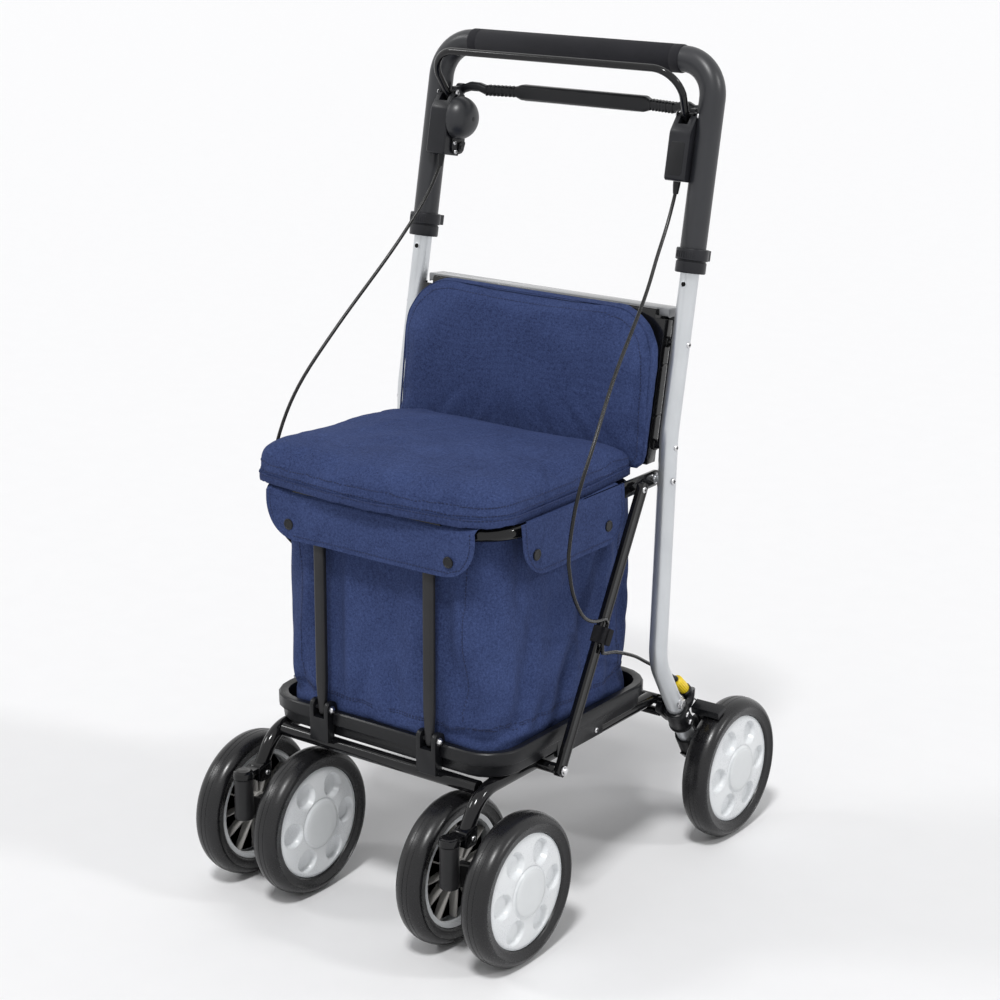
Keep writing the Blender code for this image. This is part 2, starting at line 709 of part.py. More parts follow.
def add_wheel_holder(side, materials):
    """Socket on the end of the upright with the boss and axle of the rear wheel."""
    tag = "right" if side == RIGHT else "left"
    low = on_kick(side, HOLDER_TOP)
    high = on_kick(side, 1.0) + (on_kick(side, 1.0) - low).normalized() * 0.004
    socket = rod(low, high, UPRIGHT_RADIUS + 0.0028, 16)
    axle_place = Vector((0, REAR_AXLE_Y, AXLE_Z))
    inner = side * (FOOT_X - 0.006)
    outer = side * (REAR_WHEEL_X - TYRE_BEAD_WIDTH / 2 + 0.003 - SLIDE_GAP)
    boss = rod(axle_place + Vector((inner, 0, 0)), axle_place + Vector((outer, 0, 0)), 0.0115, 16)
    end = side * (REAR_WHEEL_X + AXLE_DEPTH)
    axle = rod(axle_place + Vector((inner, 0, 0)), axle_place + Vector((end, 0, 0)), AXLE_RADIUS, 12)
    foot = on_kick(side, 1.0)
    web = plate([(foot.y - 0.016, foot.z - 0.004), (foot.y + 0.010, foot.z + 0.008),
                 (REAR_AXLE_Y + 0.006, AXLE_Z + 0.008), (REAR_AXLE_Y - 0.004, AXLE_Z - 0.009)],
                side * (FOOT_X - 0.006), side * (FOOT_X + 0.006))
    hinge = brake_pivot(side)
    lug = plate([(foot.y - 0.004, foot.z + 0.012), (foot.y + 0.010, foot.z + 0.004),
                 (hinge.y + 0.006, hinge.z - 0.004), (hinge.y + 0.003, hinge.z + 0.006),
                 (hinge.y - 0.006, hinge.z + 0.004)],
                side * (FOOT_X - 0.002), side * (BRAKE_PIVOT[0] - BRAKE_ARM / 2 - GAP))
    pin = rod((side * FOOT_X, hinge.y, hinge.z), (side * (BRAKE_PIVOT[0] + BRAKE_ARM / 2 + 0.001), hinge.y,
              hinge.z), BRAKE_PIN, 12)
    shape = weld(socket, web, boss, axle, lug, pin)
    shape = cut(shape, foot_bore(side))
    make(f"wheel_holder_{tag}", shape, materials["plastic"], (side * REAR_WHEEL_X, REAR_AXLE_Y, AXLE_Z))


def brake_pivot(side):
    return Vector((side * BRAKE_PIVOT[0], BRAKE_PIVOT[1], BRAKE_PIVOT[2]))


def add_brake_lever(side, materials):
    """A lever on the wheel holder whose shoe lies over the tread."""
    tag = "right" if side == RIGHT else "left"
    place = brake_pivot(side)
    out = Vector((0, -cos(SHOE_ANGLE), sin(SHOE_ANGLE)))
    along = Vector((0, sin(SHOE_ANGLE), cos(SHOE_ANGLE)))
    axle = Vector((0, REAR_AXLE_Y, AXLE_Z))
    low = axle + out * (WHEEL_RADIUS + SHOE_GAP)
    high = low + out * SHOE_THICK
    reach = along * (SHOE_LENGTH / 2)
    inner = side * (BRAKE_PIVOT[0] - BRAKE_ARM / 2)
    outer = side * (BRAKE_PIVOT[0] + BRAKE_ARM / 2)
    shoe = plate([(p.y, p.z) for p in (low - reach, low + reach, high + reach * 0.8, high - reach * 0.8)],
                 inner, side * SHOE_OUTER_X)
    arm = plate(round_outline([(place.y - 0.0075, place.z - 0.0050), (place.y + 0.0065, place.z - 0.0075),
                               (high.y + 0.0070, high.z - 0.0010), (low.y - 0.0050, low.z - 0.0010)],
                              0.0035, 3), inner, outer)
    bore = rod(place - Vector((0.01, 0, 0)), place + Vector((0.01, 0, 0)), BRAKE_PIN + GAP, 12)
    axis = pivot(f"brake_lever_{tag}_axis", place)
    make(f"brake_lever_{tag}", cut(weld(arm, shoe), bore), materials["plastic"], place, axis)


def add_rear_cross_brace(materials):
    y = BASE_PIVOT[0] + BRACE_OFFSET[0]
    z = BASE_PIVOT[1] + BRACE_OFFSET[1]
    end = EAR_INNER_X - GAP
    make("rear_cross_brace", rod((-end, y, z), (end, y, z), BRACE_RADIUS), materials["gloss"], (0, y, z))


def strut_place(share, across=0.0):
    """A point in the side view on a strut's middle line, or that far behind it."""
    run = Vector(STRUT_TOP) - Vector(STRUT_FOOT)
    back = Vector((run.y, -run.x)).normalized()
    return Vector(STRUT_FOOT) + run * share + back * across


def cable_route(side):
    """The brake cable bows out in front of the strut, dips through its strap and runs to the brake."""
    start = handle_point(0.1610, HOUSING_BOTTOM_Z, 0.0130) - HANDLE_AXIS * 2 * GAP
    way = (Vector(ADJUSTER_LOW) - Vector(ADJUSTER)).normalized()
    end = Vector(ADJUSTER) - way * GAP
    tucked = STRUT_X + STRUT_THICK / 2 + CABLE_RADIUS + GAP
    strap_half = STRAP_LENGTH / 2 / (Vector(STRUT_TOP) - Vector(STRUT_FOOT)).length
    strap_in = (tucked, *strut_place(STRAP_PLACE + strap_half * 1.1, -0.0010))
    strap_out = (tucked, *strut_place(STRAP_PLACE - strap_half * 1.1, 0.0010))
    before = (tucked + 0.0015, *strut_place(STRAP_PLACE + strap_half * 2.0, -0.0070))
    after = (tucked - 0.0005, *strut_place(STRAP_PLACE - strap_half * 2.0, 0.0070))
    route = [start, start - HANDLE_AXIS * 0.010, (0.1640, 0.0985, 0.7450), (0.1689, 0.0713, 0.7134),
             (0.1772, 0.0346, 0.6746), (0.1899, -0.0378, 0.6083), (0.2015, -0.0922, 0.5489),
             (0.2040, -0.1253, 0.4969), (0.2049, -0.1407, 0.4442), (0.2043, -0.1375, 0.4174),
             (0.2029, -0.1285, 0.3922), (0.1996, -0.1068, 0.3640), (0.1940, -0.0780, 0.3480),
             before, strap_in, strap_out, after, (0.1775, -0.0100, 0.2890), (0.1655, 0.0450, 0.2650),
             (0.1610, 0.0800, 0.2450), (0.1640, 0.1080, 0.2280), end - way * 0.008, end]
    return mirrored([tuple(p) for p in route], side)


def add_cable(side, materials):
    tag = "right" if side == RIGHT else "left"
    curve = bpy.data.curves.new(f"brake_cable_{tag}", "CURVE")
    curve.dimensions = "3D"
    curve.bevel_depth = CABLE_RADIUS
    curve.bevel_resolution = 2
    curve.use_fill_caps = True
    points = smooth_route(cable_route(side), CABLE_POINTS)
    spline = curve.splines.new("POLY")
    spline.points.add(len(points) - 1)
    origin = points[0]
    for knot, point in zip(spline.points, points):
        knot.co = (*(point - origin), 1)
    curve.materials.append(materials["cable"])
    obj = bpy.data.objects.new(f"brake_cable_{tag}", curve)
    bpy.context.collection.objects.link(obj)
    obj.location = origin


# Handle

def handle_corners():
    top = handle_point(0, HANDLE_TOP_Z).y
    low = handle_point(0, HANDLE_BOTTOM_Z).y
    return [Vector((-UPRIGHT_X, low, HANDLE_BOTTOM_Z)), Vector((-UPRIGHT_X, top, HANDLE_TOP_Z)),
            Vector((UPRIGHT_X, top, HANDLE_TOP_Z)), Vector((UPRIGHT_X, low, HANDLE_BOTTOM_Z))]


def handle_shape():
    """One bent tube, bored from both ends for the uprights and necked under the grip."""
    path = bend_path(handle_corners(), HANDLE_BEND, 6)
    middle = len(path) // 2
    neck = [Vector((x, path[middle].y, HANDLE_TOP_Z)) for x in (-GRIP_HALF, GRIP_HALF)]
    shoulder = [p + Vector((s * GAP, 0, 0)) for s, p in zip((-1, 1), neck)]
    path[middle:middle] = [shoulder[0], neck[0], neck[1], shoulder[1]]
    neck_radius = GRIP_RADIUS - GRIP_WALL - GAP
    bore_radius = UPRIGHT_RADIUS + SLIDE_GAP
    rings = []
    for i, (point, side, height) in enumerate(frames_along(path, (0, 1, 0))):
        radius = neck_radius if middle < i < middle + 3 else HANDLE_RADIUS
        rings.append([point + side * a + height * b for a, b in circle(radius, HANDLE_SIDES)])
    bores = []
    for end, ring in ((path[0], rings[0]), (path[-1], rings[-1])):
        mouth = [end + (p - end) * (bore_radius / HANDLE_RADIUS) for p in ring]
        climb = handle_point(end.x, HANDLE_BORE_TOP_Z) - end
        bores.append([[p + climb for p in mouth], mouth])
    return loft(bores[0] + rings + list(reversed(bores[1])))


def grip_shape():
    centre = handle_point(0, HANDLE_TOP_Z)
    inner = GRIP_RADIUS - GRIP_WALL
    half = GRIP_HALF - GAP
    profile = [(-half, inner), (-half, GRIP_RADIUS - 0.001), (-half + 0.0015, GRIP_RADIUS),
               (half - 0.0015, GRIP_RADIUS), (half, GRIP_RADIUS - 0.001), (half, inner)]
    return turned(profile, HANDLE_SIDES, centre, (1, 0, 0), closed=True)


def add_collar(side, materials, parent):
    """Two-tier clamp at the foot of the handle tube, with the release knob behind it."""
    tag = "right" if side == RIGHT else "left"
    foot = handle_point(side * UPRIGHT_X, COLLAR_BOTTOM_Z)
    rise = 1 / cos(HANDLE_LEAN)
    groove = (COLLAR_GROOVE_Z - COLLAR_BOTTOM_Z) * rise
    top = (COLLAR_TOP_Z - COLLAR_BOTTOM_Z) * rise
    seat = (HANDLE_BOTTOM_Z - COLLAR_BOTTOM_Z) * rise - GAP
    bore = UPRIGHT_RADIUS + SLIDE_GAP
    socket = HANDLE_RADIUS + GAP
    profile = [(0, bore), (0, COLLAR_RADIUS - 0.001), (0.001, COLLAR_RADIUS), (groove, COLLAR_RADIUS),
               (groove + 0.0004, COLLAR_RADIUS - 0.0012), (groove + 0.0012, COLLAR_RADIUS - 0.0012),
               (groove + 0.0016, COLLAR_BAND), (top, COLLAR_BAND), (top, socket), (seat, socket),
               (seat, bore)]
    shape = turned(profile, HANDLE_SIDES, foot, HANDLE_AXIS, closed=True)
    half = KNOB_WIDTH / 2
    outline = round_outline([(-half, 0.0155), (half, 0.0155), (half, KNOB_REACH), (-half, KNOB_REACH)],
                            [0, 0, 0.003, 0.003], 3)
    rings = []
    for level in (groove + 0.0016, top - 0.001):
        rings.append([foot + HANDLE_AXIS * level - HANDLE_FRONT * b + Vector((a, 0, 0)) for a, b in outline])
    shape = weld(shape, loft(rings))
    make(f"collar_{tag}", shape, materials["plastic"], foot, parent)


def housing_outline():
    """Side view of a lever housing, as (distance in front of the tube's axis, height above its foot)."""
    height = (HOUSING_TOP_Z - HOUSING_BOTTOM_Z) / cos(HANDLE_LEAN)
    front = HOUSING_FRONT
    return round_outline([(-0.0045, 0.0), (front, 0.0), (front, height - 0.0180), (0.0160, height - 0.0020),
                          (0.0060, height + 0.0060), (-0.0045, height - 0.0010)],
                         [0.002, 0.004, 0.012, 0.008, 0.004, 0.003], 3)


def add_lever_housing(side, materials, parent):
    """Moulded housing saddled on the handle tube: cable hole below, slot and ears for the brake loop."""
    tag = "right" if side == RIGHT else "left"
    foot = handle_point(0, HOUSING_BOTTOM_Z)
    outline = housing_outline()
    rings = []
    for x, shrink in ((HOUSING_INNER_X, 0.0015), (HOUSING_INNER_X + 0.0015, 0.0),
                      (HOUSING_OUTER_X - 0.0015, 0.0), (HOUSING_OUTER_X, 0.0015)):
        rings.append([foot + HANDLE_FRONT * (a - shrink * (a > 0.006)) + HANDLE_AXIS * b
                      + Vector((side * x, 0, 0)) for a, b in outline])
    shape = loft(rings)
    lug_place = Vector(mirrored([PARK_HOOK], side)[0])
    out = Vector((side, 0, 0))
    lug = rod(lug_place + out * 0.0020, lug_place + out * 0.0095, 0.0062, 12)
    near, far = sorted(side * x for x in PARK_LUG_X)
    strut = block((near, lug_place.y - 0.0135, lug_place.z - 0.0130),
                  (far, lug_place.y, lug_place.z + 0.0035))
    shape = weld(shape, lug, strut)
    bore = rod(lug_place - Vector((0.03, 0, 0)), lug_place + Vector((0.03, 0, 0)), 0.0025 + GAP, 10)
    saddle = rod(handle_point(side * UPRIGHT_X, HOUSING_BOTTOM_Z - 0.045),
                 handle_point(side * UPRIGHT_X, HOUSING_TOP_Z + 0.045),
                 HANDLE_RADIUS + GAP, HANDLE_SIDES)
    hinge = Vector(mirrored([LOOP_PIVOT], side)[0])
    gap_half = LOOP_RADIUS + SLIDE_GAP
    slot_rings = []
    for x in (hinge.x - side * gap_half, hinge.x + side * (gap_half + LOOP_SPREAD)):
        corner = Vector((x, hinge.y, hinge.z))
        slot_rings.append([corner + HANDLE_FRONT * a + HANDLE_AXIS * b
                           for a, b in ((-0.0062, -0.0100), (0.0250, -0.0100), (0.0250, 0.0200),
                                        (-0.0062, 0.0200))])
    pin = rod(hinge - Vector((0.012, 0, 0)), hinge + Vector((0.012, 0, 0)), 0.0020 + GAP, 10)
    shape = cut(shape, bore, saddle, loft(slot_rings), pin)
    make(f"lever_housing_{tag}", shape, materials["plastic"], foot + Vector((side * HOUSING_INNER_X, 0, 0)),
         parent)


def loop_shape():
    """The brake loop: one rod bent up from its two pivots, with a cross pin at each."""
    half = [Vector(LOOP_PIVOT), Vector(LOOP_KNEE), Vector(LOOP_TOP)]
    low = half[0] - HANDLE_AXIS * 0.0045
    other = [Vector((-p.x, p.y, p.z)) for p in (half[2], half[1], low)]
    path = bend_path([low, half[1], half[2]] + other, [0.020, LOOP_BEND, LOOP_BEND, 0.020], 4)
    shape = tube(path, LOOP_RADIUS, 10)
    for side in (LEFT, RIGHT):
        hinge = Vector(mirrored([LOOP_PIVOT], side)[0])
        shape = weld(shape, rod(hinge - Vector((0.0085, 0, 0)), hinge + Vector((0.0085, 0, 0)), 0.0020, 10))
    return shape


def parking_bar_shape():
    """Bar with a thick middle, ribbed thinner arms and pinned ends that hump over the hooks."""
    def section(thick, depth):
        return round_outline([(-depth / 2, -thick / 2), (depth / 2, -thick / 2), (depth / 2, thick / 2),
                              (-depth / 2, thick / 2)], 0.0025, 1)
    half = []
    hook, neck, bar = Vector(PARK_HOOK), Vector(PARK_NECK), Vector(PARK_BAR)
    half.append((hook + Vector((0.0018, 0, 0)), 0.0100, 0.0090))
    half.append((hook.lerp(neck, 0.30) + Vector((0, 0, 0.0035)), 0.0105, 0.0095))
    half.append((hook.lerp(neck, 0.70) + Vector((0, 0, 0.0030)), 0.0100, 0.0095))
    half.append((neck, PARK_THIN, 0.0100))
    for k in range(PARK_RIBS):
        for share, swell in ((0.25, 0.0), (0.50, 0.0010)):
            place = neck.lerp(bar, (k + share) / PARK_RIBS)
            half.append((place, PARK_THIN + swell, 0.0100 + swell))
    half.append((bar - Vector((0.0005, 0, 0)), PARK_THICK, PARK_DEPTH))
    half.append((bar - Vector((0.0030, 0, 0)), PARK_THICK + 0.001, PARK_DEPTH + 0.001))
    stations = half + [(Vector((-p.x, p.y, p.z)), t, d) for p, t, d in reversed(half)]
    rings = [[p + Vector((0, a, b)) for a, b in section(t, d)] for p, t, d in stations]
    shape = loft(rings)
    for side in (LEFT, RIGHT):
        hinge = Vector(mirrored([PARK_HOOK], side)[0])
        shape = weld(shape, rod(hinge, hinge + Vector((side * 0.0088, 0, 0)), 0.0025, 10))
    return shape


def add_bell(materials, parent):
    """Bracket plate on the left housing with a thin dome fixed on its post, and the striker lever below."""
    inner = -(HOUSING_INNER_X - GAP)
    face = inner + BELL_PLATE
    outline = round_outline([(BELL_Y - 0.0140, BELL_Z - 0.0410), (BELL_Y + 0.0100, BELL_Z - 0.0430),
                             (BELL_Y + 0.0120, BELL_Z - 0.0220), (BELL_Y + 0.0140, BELL_Z + 0.0080),
                             (BELL_Y - 0.0060, BELL_Z + 0.0120)], [0.008, 0.008, 0.006, 0.006, 0.006], 3)
    bracket = plate(outline, inner, face)
    crown = face + BELL_HEIGHT - BELL_WALL * 0.4
    post = rod((face - 0.001, BELL_Y, BELL_Z), (crown, BELL_Y, BELL_Z), 0.0030, 10)
    hinge = Vector((face, BELL_Y + 0.0010, BELL_Z - 0.0340))
    stud = rod(hinge - Vector((0.001, 0, 0)), hinge + Vector((0.0035, 0, 0)), 0.0020, 10)
    profile = []
    for radius, height in ((BELL_RADIUS - BELL_WALL, BELL_HEIGHT - BELL_WALL), (BELL_RADIUS, BELL_HEIGHT)):
        arc = []
        for k in range(6):
            angle = pi / 2 * k / 5 * 0.94
            arc.append((height * sin(angle), radius * cos(angle)))
        profile += list(reversed(arc)) if not profile else arc
    dome = turned(profile, 20, (face + GAP, BELL_Y, BELL_Z), (1, 0, 0))
    shape = weld(bracket, stud, weld(dome, post))
    make("bell", shape, materials["matt"], (face, BELL_Y, BELL_Z), parent, sharp=50)
    arm = plate(round_outline([(hinge.y - 0.0040, hinge.z - 0.0060), (hinge.y + 0.0050, hinge.z - 0.0050),
                               (hinge.y + 0.0100, hinge.z + 0.0060), (hinge.y - 0.0020, hinge.z + 0.0050)],
                              0.002, 2), face + GAP, face + 0.0024)
    arm = cut(arm, rod(hinge - Vector((0.01, 0, 0)), hinge + Vector((0.01, 0, 0)), 0.0020 + GAP, 10))
    axis = pivot("bell_lever_axis", hinge, parent)
    make("bell_lever", arm, materials["plastic"], hinge, axis)


def add_handle(materials):
    """The telescoping handle with everything that rides on it."""
    slide = pivot("handle_slide", handle_point(0, HANDLE_BOTTOM_Z))
    make("handle_tube", handle_shape(), materials["matt"], handle_point(0, HANDLE_BOTTOM_Z), slide)
    make("grip_sleeve", grip_shape(), materials["foam"], handle_point(0, HANDLE_TOP_Z), slide)
    for side in (RIGHT, LEFT):
        add_collar(side, materials, slide)
        add_lever_housing(side, materials, slide)
    loop_axis = pivot("brake_loop_axis", (0, *LOOP_PIVOT[1:]), slide)
    make("brake_loop", loop_shape(), materials["gloss"], (0, *LOOP_PIVOT[1:]), loop_axis)
    park_axis = pivot("parking_bar_axis", (0, *PARK_HOOK[1:]), slide)
    make("parking_bar", parking_bar_shape(), materials["plastic"], (0, *PARK_HOOK[1:]), park_axis)
    add_bell(materials, slide)


# Base

def add_leg(side, materials, parent):
    """Leg tube with the strut's stub and the bracket that carries the caster on its pin."""
    tag = "right" if side == RIGHT else "left"
    x = side * LEG_X
    rear = BASE_PIVOT[0] - PIVOT_TUBE_RADIUS - GAP
    path = bend_path([(x, rear, BASE_PIVOT[1]), (x, LEG_BEND_Y, BASE_PIVOT[1]), (x, *LEG_END)], LEG_BEND, 6)
    shape = tube(path, LEG_RADIUS, LEG_SIDES)
    strut_inner = STRUT_X - STRUT_THICK / 2
    strut_outer = STRUT_X + STRUT_THICK / 2
    stub = rod((x, *STRUT_FOOT), (side * (strut_inner - GAP), *STRUT_FOOT), STUB_RADIUS, 12)
    pin = rod((x, *STRUT_FOOT), (side * (strut_outer + 0.001), *STRUT_FOOT), STRUT_PIN, 10)
    y, z = LEG_END
    clamp = plate(round_outline([(y - 0.0060, z - 0.0055), (y + 0.0130, z - 0.0055),
                                 (y + 0.0150, z + 0.0165), (y - 0.0060, z + 0.0125)],
                                0.003, 2), x - 0.0090, x + 0.0090)
    cap_low = SWIVEL_TOP_Z + GAP
    cap = turned([(cap_low, SWIVEL_RADIUS + 0.001), (cap_low + 0.006, SWIVEL_RADIUS + 0.001),
                  (cap_low + 0.0085, SWIVEL_RADIUS - 0.002)], 16, (x, SWIVEL_Y, 0), (0, 0, 1))
    neck = block((x - 0.0075, SWIVEL_Y, cap_low), (x + 0.0075, LEG_END[0], cap_low + 0.0065))
    swivel_pin = rod((x, SWIVEL_Y, SWIVEL_TOP_Z - 0.0175), (x, SWIVEL_Y, cap_low + 0.002), SWIVEL_PIN, 12)
    shape = weld(shape, stub, pin, clamp, cap, neck, swivel_pin)
    make(f"leg_tube_{tag}", shape, materials["gloss"], (x, *BASE_PIVOT), parent)


def add_base_tubes(materials, parent):
    inner = LEG_X - LEG_RADIUS - GAP
    bar = rod((-inner, *CROSSBAR), (inner, *CROSSBAR), LEG_RADIUS, LEG_SIDES)
    make("front_crossbar", bar, materials["gloss"], (0, *CROSSBAR), parent)
    half = EAR_INNER_X - GAP
    end = EAR_INNER_X + EAR_THICK + 0.0010
    profile = [(-end, AXLE_RADIUS), (-half, AXLE_RADIUS), (-half, PIVOT_TUBE_RADIUS),
               (half, PIVOT_TUBE_RADIUS), (half, AXLE_RADIUS), (end, AXLE_RADIUS)]
    make("rear_pivot_tube", turned(profile, 12, (0, *BASE_PIVOT), (1, 0, 0)), materials["gloss"],
         (0, *BASE_PIVOT), parent)


def tray_ring(inset, z):
    half = TRAY_HALF - inset
    corners = [(-half, TRAY_FRONT + inset), (half, TRAY_FRONT + inset), (half, TRAY_REAR - inset),
               (-half, TRAY_REAR - inset)]
    return [(x, y, z) for x, y in round_outline(corners, TRAY_CORNER - inset, 5)]


def add_tray(materials, parent):
    """Moulded tray: rolled rim, thin wall and floor, side skirts and notches for the post clips."""
    under = TRAY_FLOOR - TRAY_WALL
    rim_low = TRAY_TOP - TRAY_RIM
    shape = loft([tray_ring(0.0075, under), tray_ring(0.0055, under + 0.0020), tray_ring(0.0040, rim_low),
                  tray_ring(0.0, rim_low), tray_ring(0.0, TRAY_TOP - 0.0020), tray_ring(0.0020, TRAY_TOP),
                  tray_ring(TRAY_LIP, TRAY_TOP - 0.0010), tray_ring(TRAY_LIP + 0.0005, TRAY_FLOOR)])
    for side in (LEFT, RIGHT):
        skirt = plate([(-0.0950, 0.1890), (-0.0080, 0.1890), (-0.0080, rim_low + 0.002),
                       (-0.0950, rim_low + 0.002)], side * 0.1555, side * 0.1605)
        shape = weld(shape, skirt)
        width = CLIP_WIDTH / 2 + SLIDE_GAP
        notch = block((side * POST_X - width, TRAY_FRONT - 0.001, TRAY_NOTCH_Z),
                      (side * POST_X + width, CLIP_REAR + SLIDE_GAP, TRAY_TOP + 0.001))
        shape = cut(shape, notch)
    make("tray", shape, materials["plastic"], (0, 0, under), parent)


def add_post(side, materials, parent, axis):
    """Clip on the crossbar and the flat oval post that it carries."""
    tag = "right" if side == RIGHT else "left"
    x = side * POST_X
    wall = TRAY_FRONT + 0.0040 - SLIDE_GAP
    clip = plate(round_outline([(CLIP_FRONT, CROSSBAR[1] + 0.0040), (wall, CROSSBAR[1] + 0.0040),
                                (wall, TRAY_NOTCH_Z + SLIDE_GAP), (CLIP_REAR, TRAY_NOTCH_Z + SLIDE_GAP),
                                (CLIP_REAR, CLIP_TOP), (CLIP_FRONT, CLIP_TOP)],
                               [0.001, 0, 0, 0, 0.0070, 0.0070], 4), x - CLIP_WIDTH / 2, x + CLIP_WIDTH / 2)
    slot_half = POST_WIDTH / 2 + SLIDE_GAP
    slot = block((x - slot_half, CLIP_FRONT - 0.001, CLIP_SLOT_Z),
                 (x + slot_half, CLIP_REAR + 0.001, CLIP_TOP + 0.001))
    seat = rod((x - 0.03, *CROSSBAR), (x + 0.03, *CROSSBAR), LEG_RADIUS + GAP, LEG_SIDES)
    pin = rod((x - slot_half - 0.002, *POST_PIVOT), (x + slot_half + 0.002, *POST_PIVOT), POST_PIN, 10)
    clip = weld(cut(clip, slot, seat), pin)
    make(f"post_clip_{tag}", clip, materials["plastic"], (x, *CROSSBAR), parent)
    bottom = Vector((x, *POST_PIVOT))
    top = Vector((x, *SEAT_FRONT))
    way = (top - bottom).normalized()
    stations = [(-0.0070, 0.70), (0.0, 0.85), (0.030, 1.0),
                ((top - bottom).length - HOOP_RADIUS - POST_TOP_ROOM, 1.0)]
    path = [bottom + way * s for s, _ in stations]
    sections = [[(a * share, b) for a, b in stadium(POST_WIDTH, POST_DEPTH)] for _, share in stations]
    post = loft(sweep(path, sections))
    bore = rod((x - 0.02, *POST_PIVOT), (x + 0.02, *POST_PIVOT), POST_PIN + GAP, 10)
    make(f"front_post_{tag}", cut(post, bore), materials["matt"], (x, *POST_PIVOT), axis)


def add_strut(side, materials, parent):
    """Flat oval side strut on its stub, with the strap that ties the brake cable to it."""
    tag = "right" if side == RIGHT else "left"
    x = side * STRUT_X
    foot = Vector((x, *STRUT_FOOT))
    top = Vector((x, *STRUT_TOP))
    way = (top - foot).normalized()
    half = STRUT_WIDTH / 2
    path = [foot - way * half, foot - way * (half - 0.0025), top + way * (half - 0.0025), top + way * half]
    outline = stadium(STRUT_WIDTH, STRUT_THICK)
    sections = [[(a * share, b) for a, b in outline] for share in (0.7, 1.0, 1.0, 0.7)]
    strut = loft(sweep(path, sections, (0, 1, 0)))
    bore = rod((x - 0.02, *STRUT_FOOT), (x + 0.02, *STRUT_FOOT), STRUT_PIN + GAP, 10)
    axis = pivot(f"strut_{tag}_axis", (x, *STRUT_FOOT), parent)
    make(f"strut_{tag}", cut(strut, bore), materials["gloss"], (x, *STRUT_FOOT), axis)
    middle = strut_place(STRAP_PLACE)
    inner = STRUT_X - STRUT_THICK / 2 - GAP
    outer = STRUT_X + STRUT_THICK / 2 + 2 * CABLE_RADIUS + 3 * SLIDE_GAP
    centre = Vector((side * (inner + outer) / 2, *middle))
    deep = outer - inner
    wide = STRUT_WIDTH + 2 * GAP
    ends = [centre - way * STRAP_LENGTH / 2, centre + way * STRAP_LENGTH / 2]
    rings = []
    for i, growth in ((0, 0), (0, STRAP_WALL), (1, STRAP_WALL), (1, 0)):
        a, b = wide / 2 + growth, deep / 2 + growth
        section = round_outline([(-a, -b), (a, -b), (a, b), (-a, b)], 0.0015 + growth, 2)
        rings.append(sweep(ends, section, (0, 1, 0))[i])
    make(f"cable_strap_{tag}", loft(rings, closed=True), materials["strap"], centre, axis)


def bag_ring(inset, z):
    half = BAG_HALF - inset
    corners = [(-half, BAG_FRONT + inset), (half, BAG_FRONT + inset), (half, BAG_REAR - inset),
               (-half, BAG_REAR - inset)]
    return [(x, y, z) for x, y in round_outline(corners, BAG_CORNER - inset, 4)]


def add_bag(materials, parent):
    """Open cloth bag that stands in the tray, with thin walls that belly a little."""
    belly = 0.5 * (BAG_BOTTOM + BAG_TOP)
    rings = [bag_ring(0.0, BAG_BOTTOM), bag_ring(-0.0005, TRAY_TOP), bag_ring(-0.0030, belly),
             bag_ring(0.0, BAG_TOP), bag_ring(BAG_WALL, BAG_TOP), bag_ring(BAG_WALL - 0.0030, belly),
             bag_ring(BAG_WALL, BAG_BOTTOM + BAG_WALL)]
    make("bag_body", loft(rings), materials["fabric"], (0, 0, BAG_BOTTOM), parent, sharp=60)


# Seat

def add_seat_hoop(materials, parent):
    """Bent hoop under the seat with a flat hinge arm welded on each side."""
    bar_end = ARM_REACH_REAR
    corners = [(-HOOP_X, bar_end, SEAT_FRONT[1]), (-HOOP_X, *SEAT_FRONT), (HOOP_X, *SEAT_FRONT),
               (HOOP_X, bar_end, SEAT_FRONT[1])]
    shape = tube(bend_path(corners, HOOP_CORNER, 5), HOOP_RADIUS, 12, (0, 0, 1))
    for side in (LEFT, RIGHT):
        half = ARM_HEIGHT / 2
        y_front, y_rear, z = ARM_REACH_FRONT, SEAT_PIVOT[0] + half, SEAT_PIVOT[1]
        outline = round_outline([(y_front, z - half), (y_rear, z - half), (y_rear, z + half),
                                 (y_front, z + half)], half * 0.95, 4)
        arm = plate(outline, side * ARM_INNER_X, side * (ARM_INNER_X + ARM_THICK))
        bore = rod((side * 0.15, *SEAT_PIVOT), (side * 0.19, *SEAT_PIVOT), SEAT_PIN + GAP, 12)
        shape = weld(shape, cut(arm, bore))
    make("seat_hoop", shape, materials["gloss"], (0, *SEAT_PIVOT), parent)


def add_flaps(materials, parent):
    """The bag's three cloth flaps, folded down over the hoop."""
    y = SEAT_FRONT[0] - HOOP_RADIUS - SLIDE_GAP
    half, corner = FRONT_FLAP_HALF, FRONT_FLAP_CORNER
    low, wide = FRONT_FLAP_Z
    right = [(half - 0.0247, low), (half, wide), (half - 0.0027, FLAP_TOP_Z)]
    left = [(-x, z) for x, z in reversed(right)]
    radii = [corner * 0.1, corner * 0.6, corner, corner, corner * 0.6, corner * 0.1]
    shape = plate(round_outline(left + right, radii, 4), y - FLAP_THICK, y, "front")
    make("front_flap", shape, materials["fabric"], (0, *SEAT_FRONT), parent)
    outline = round_outline(SIDE_FLAP_CORNERS, SIDE_FLAP_RADII, 5)
    for side, tag in ((RIGHT, "right"), (LEFT, "left")):
        shape = plate(outline, side * SIDE_FLAP_X, side * (SIDE_FLAP_X + FLAP_THICK))
        make(f"side_flap_{tag}", shape, materials["fabric"], (side * SIDE_FLAP_X, *SEAT_FRONT), parent)


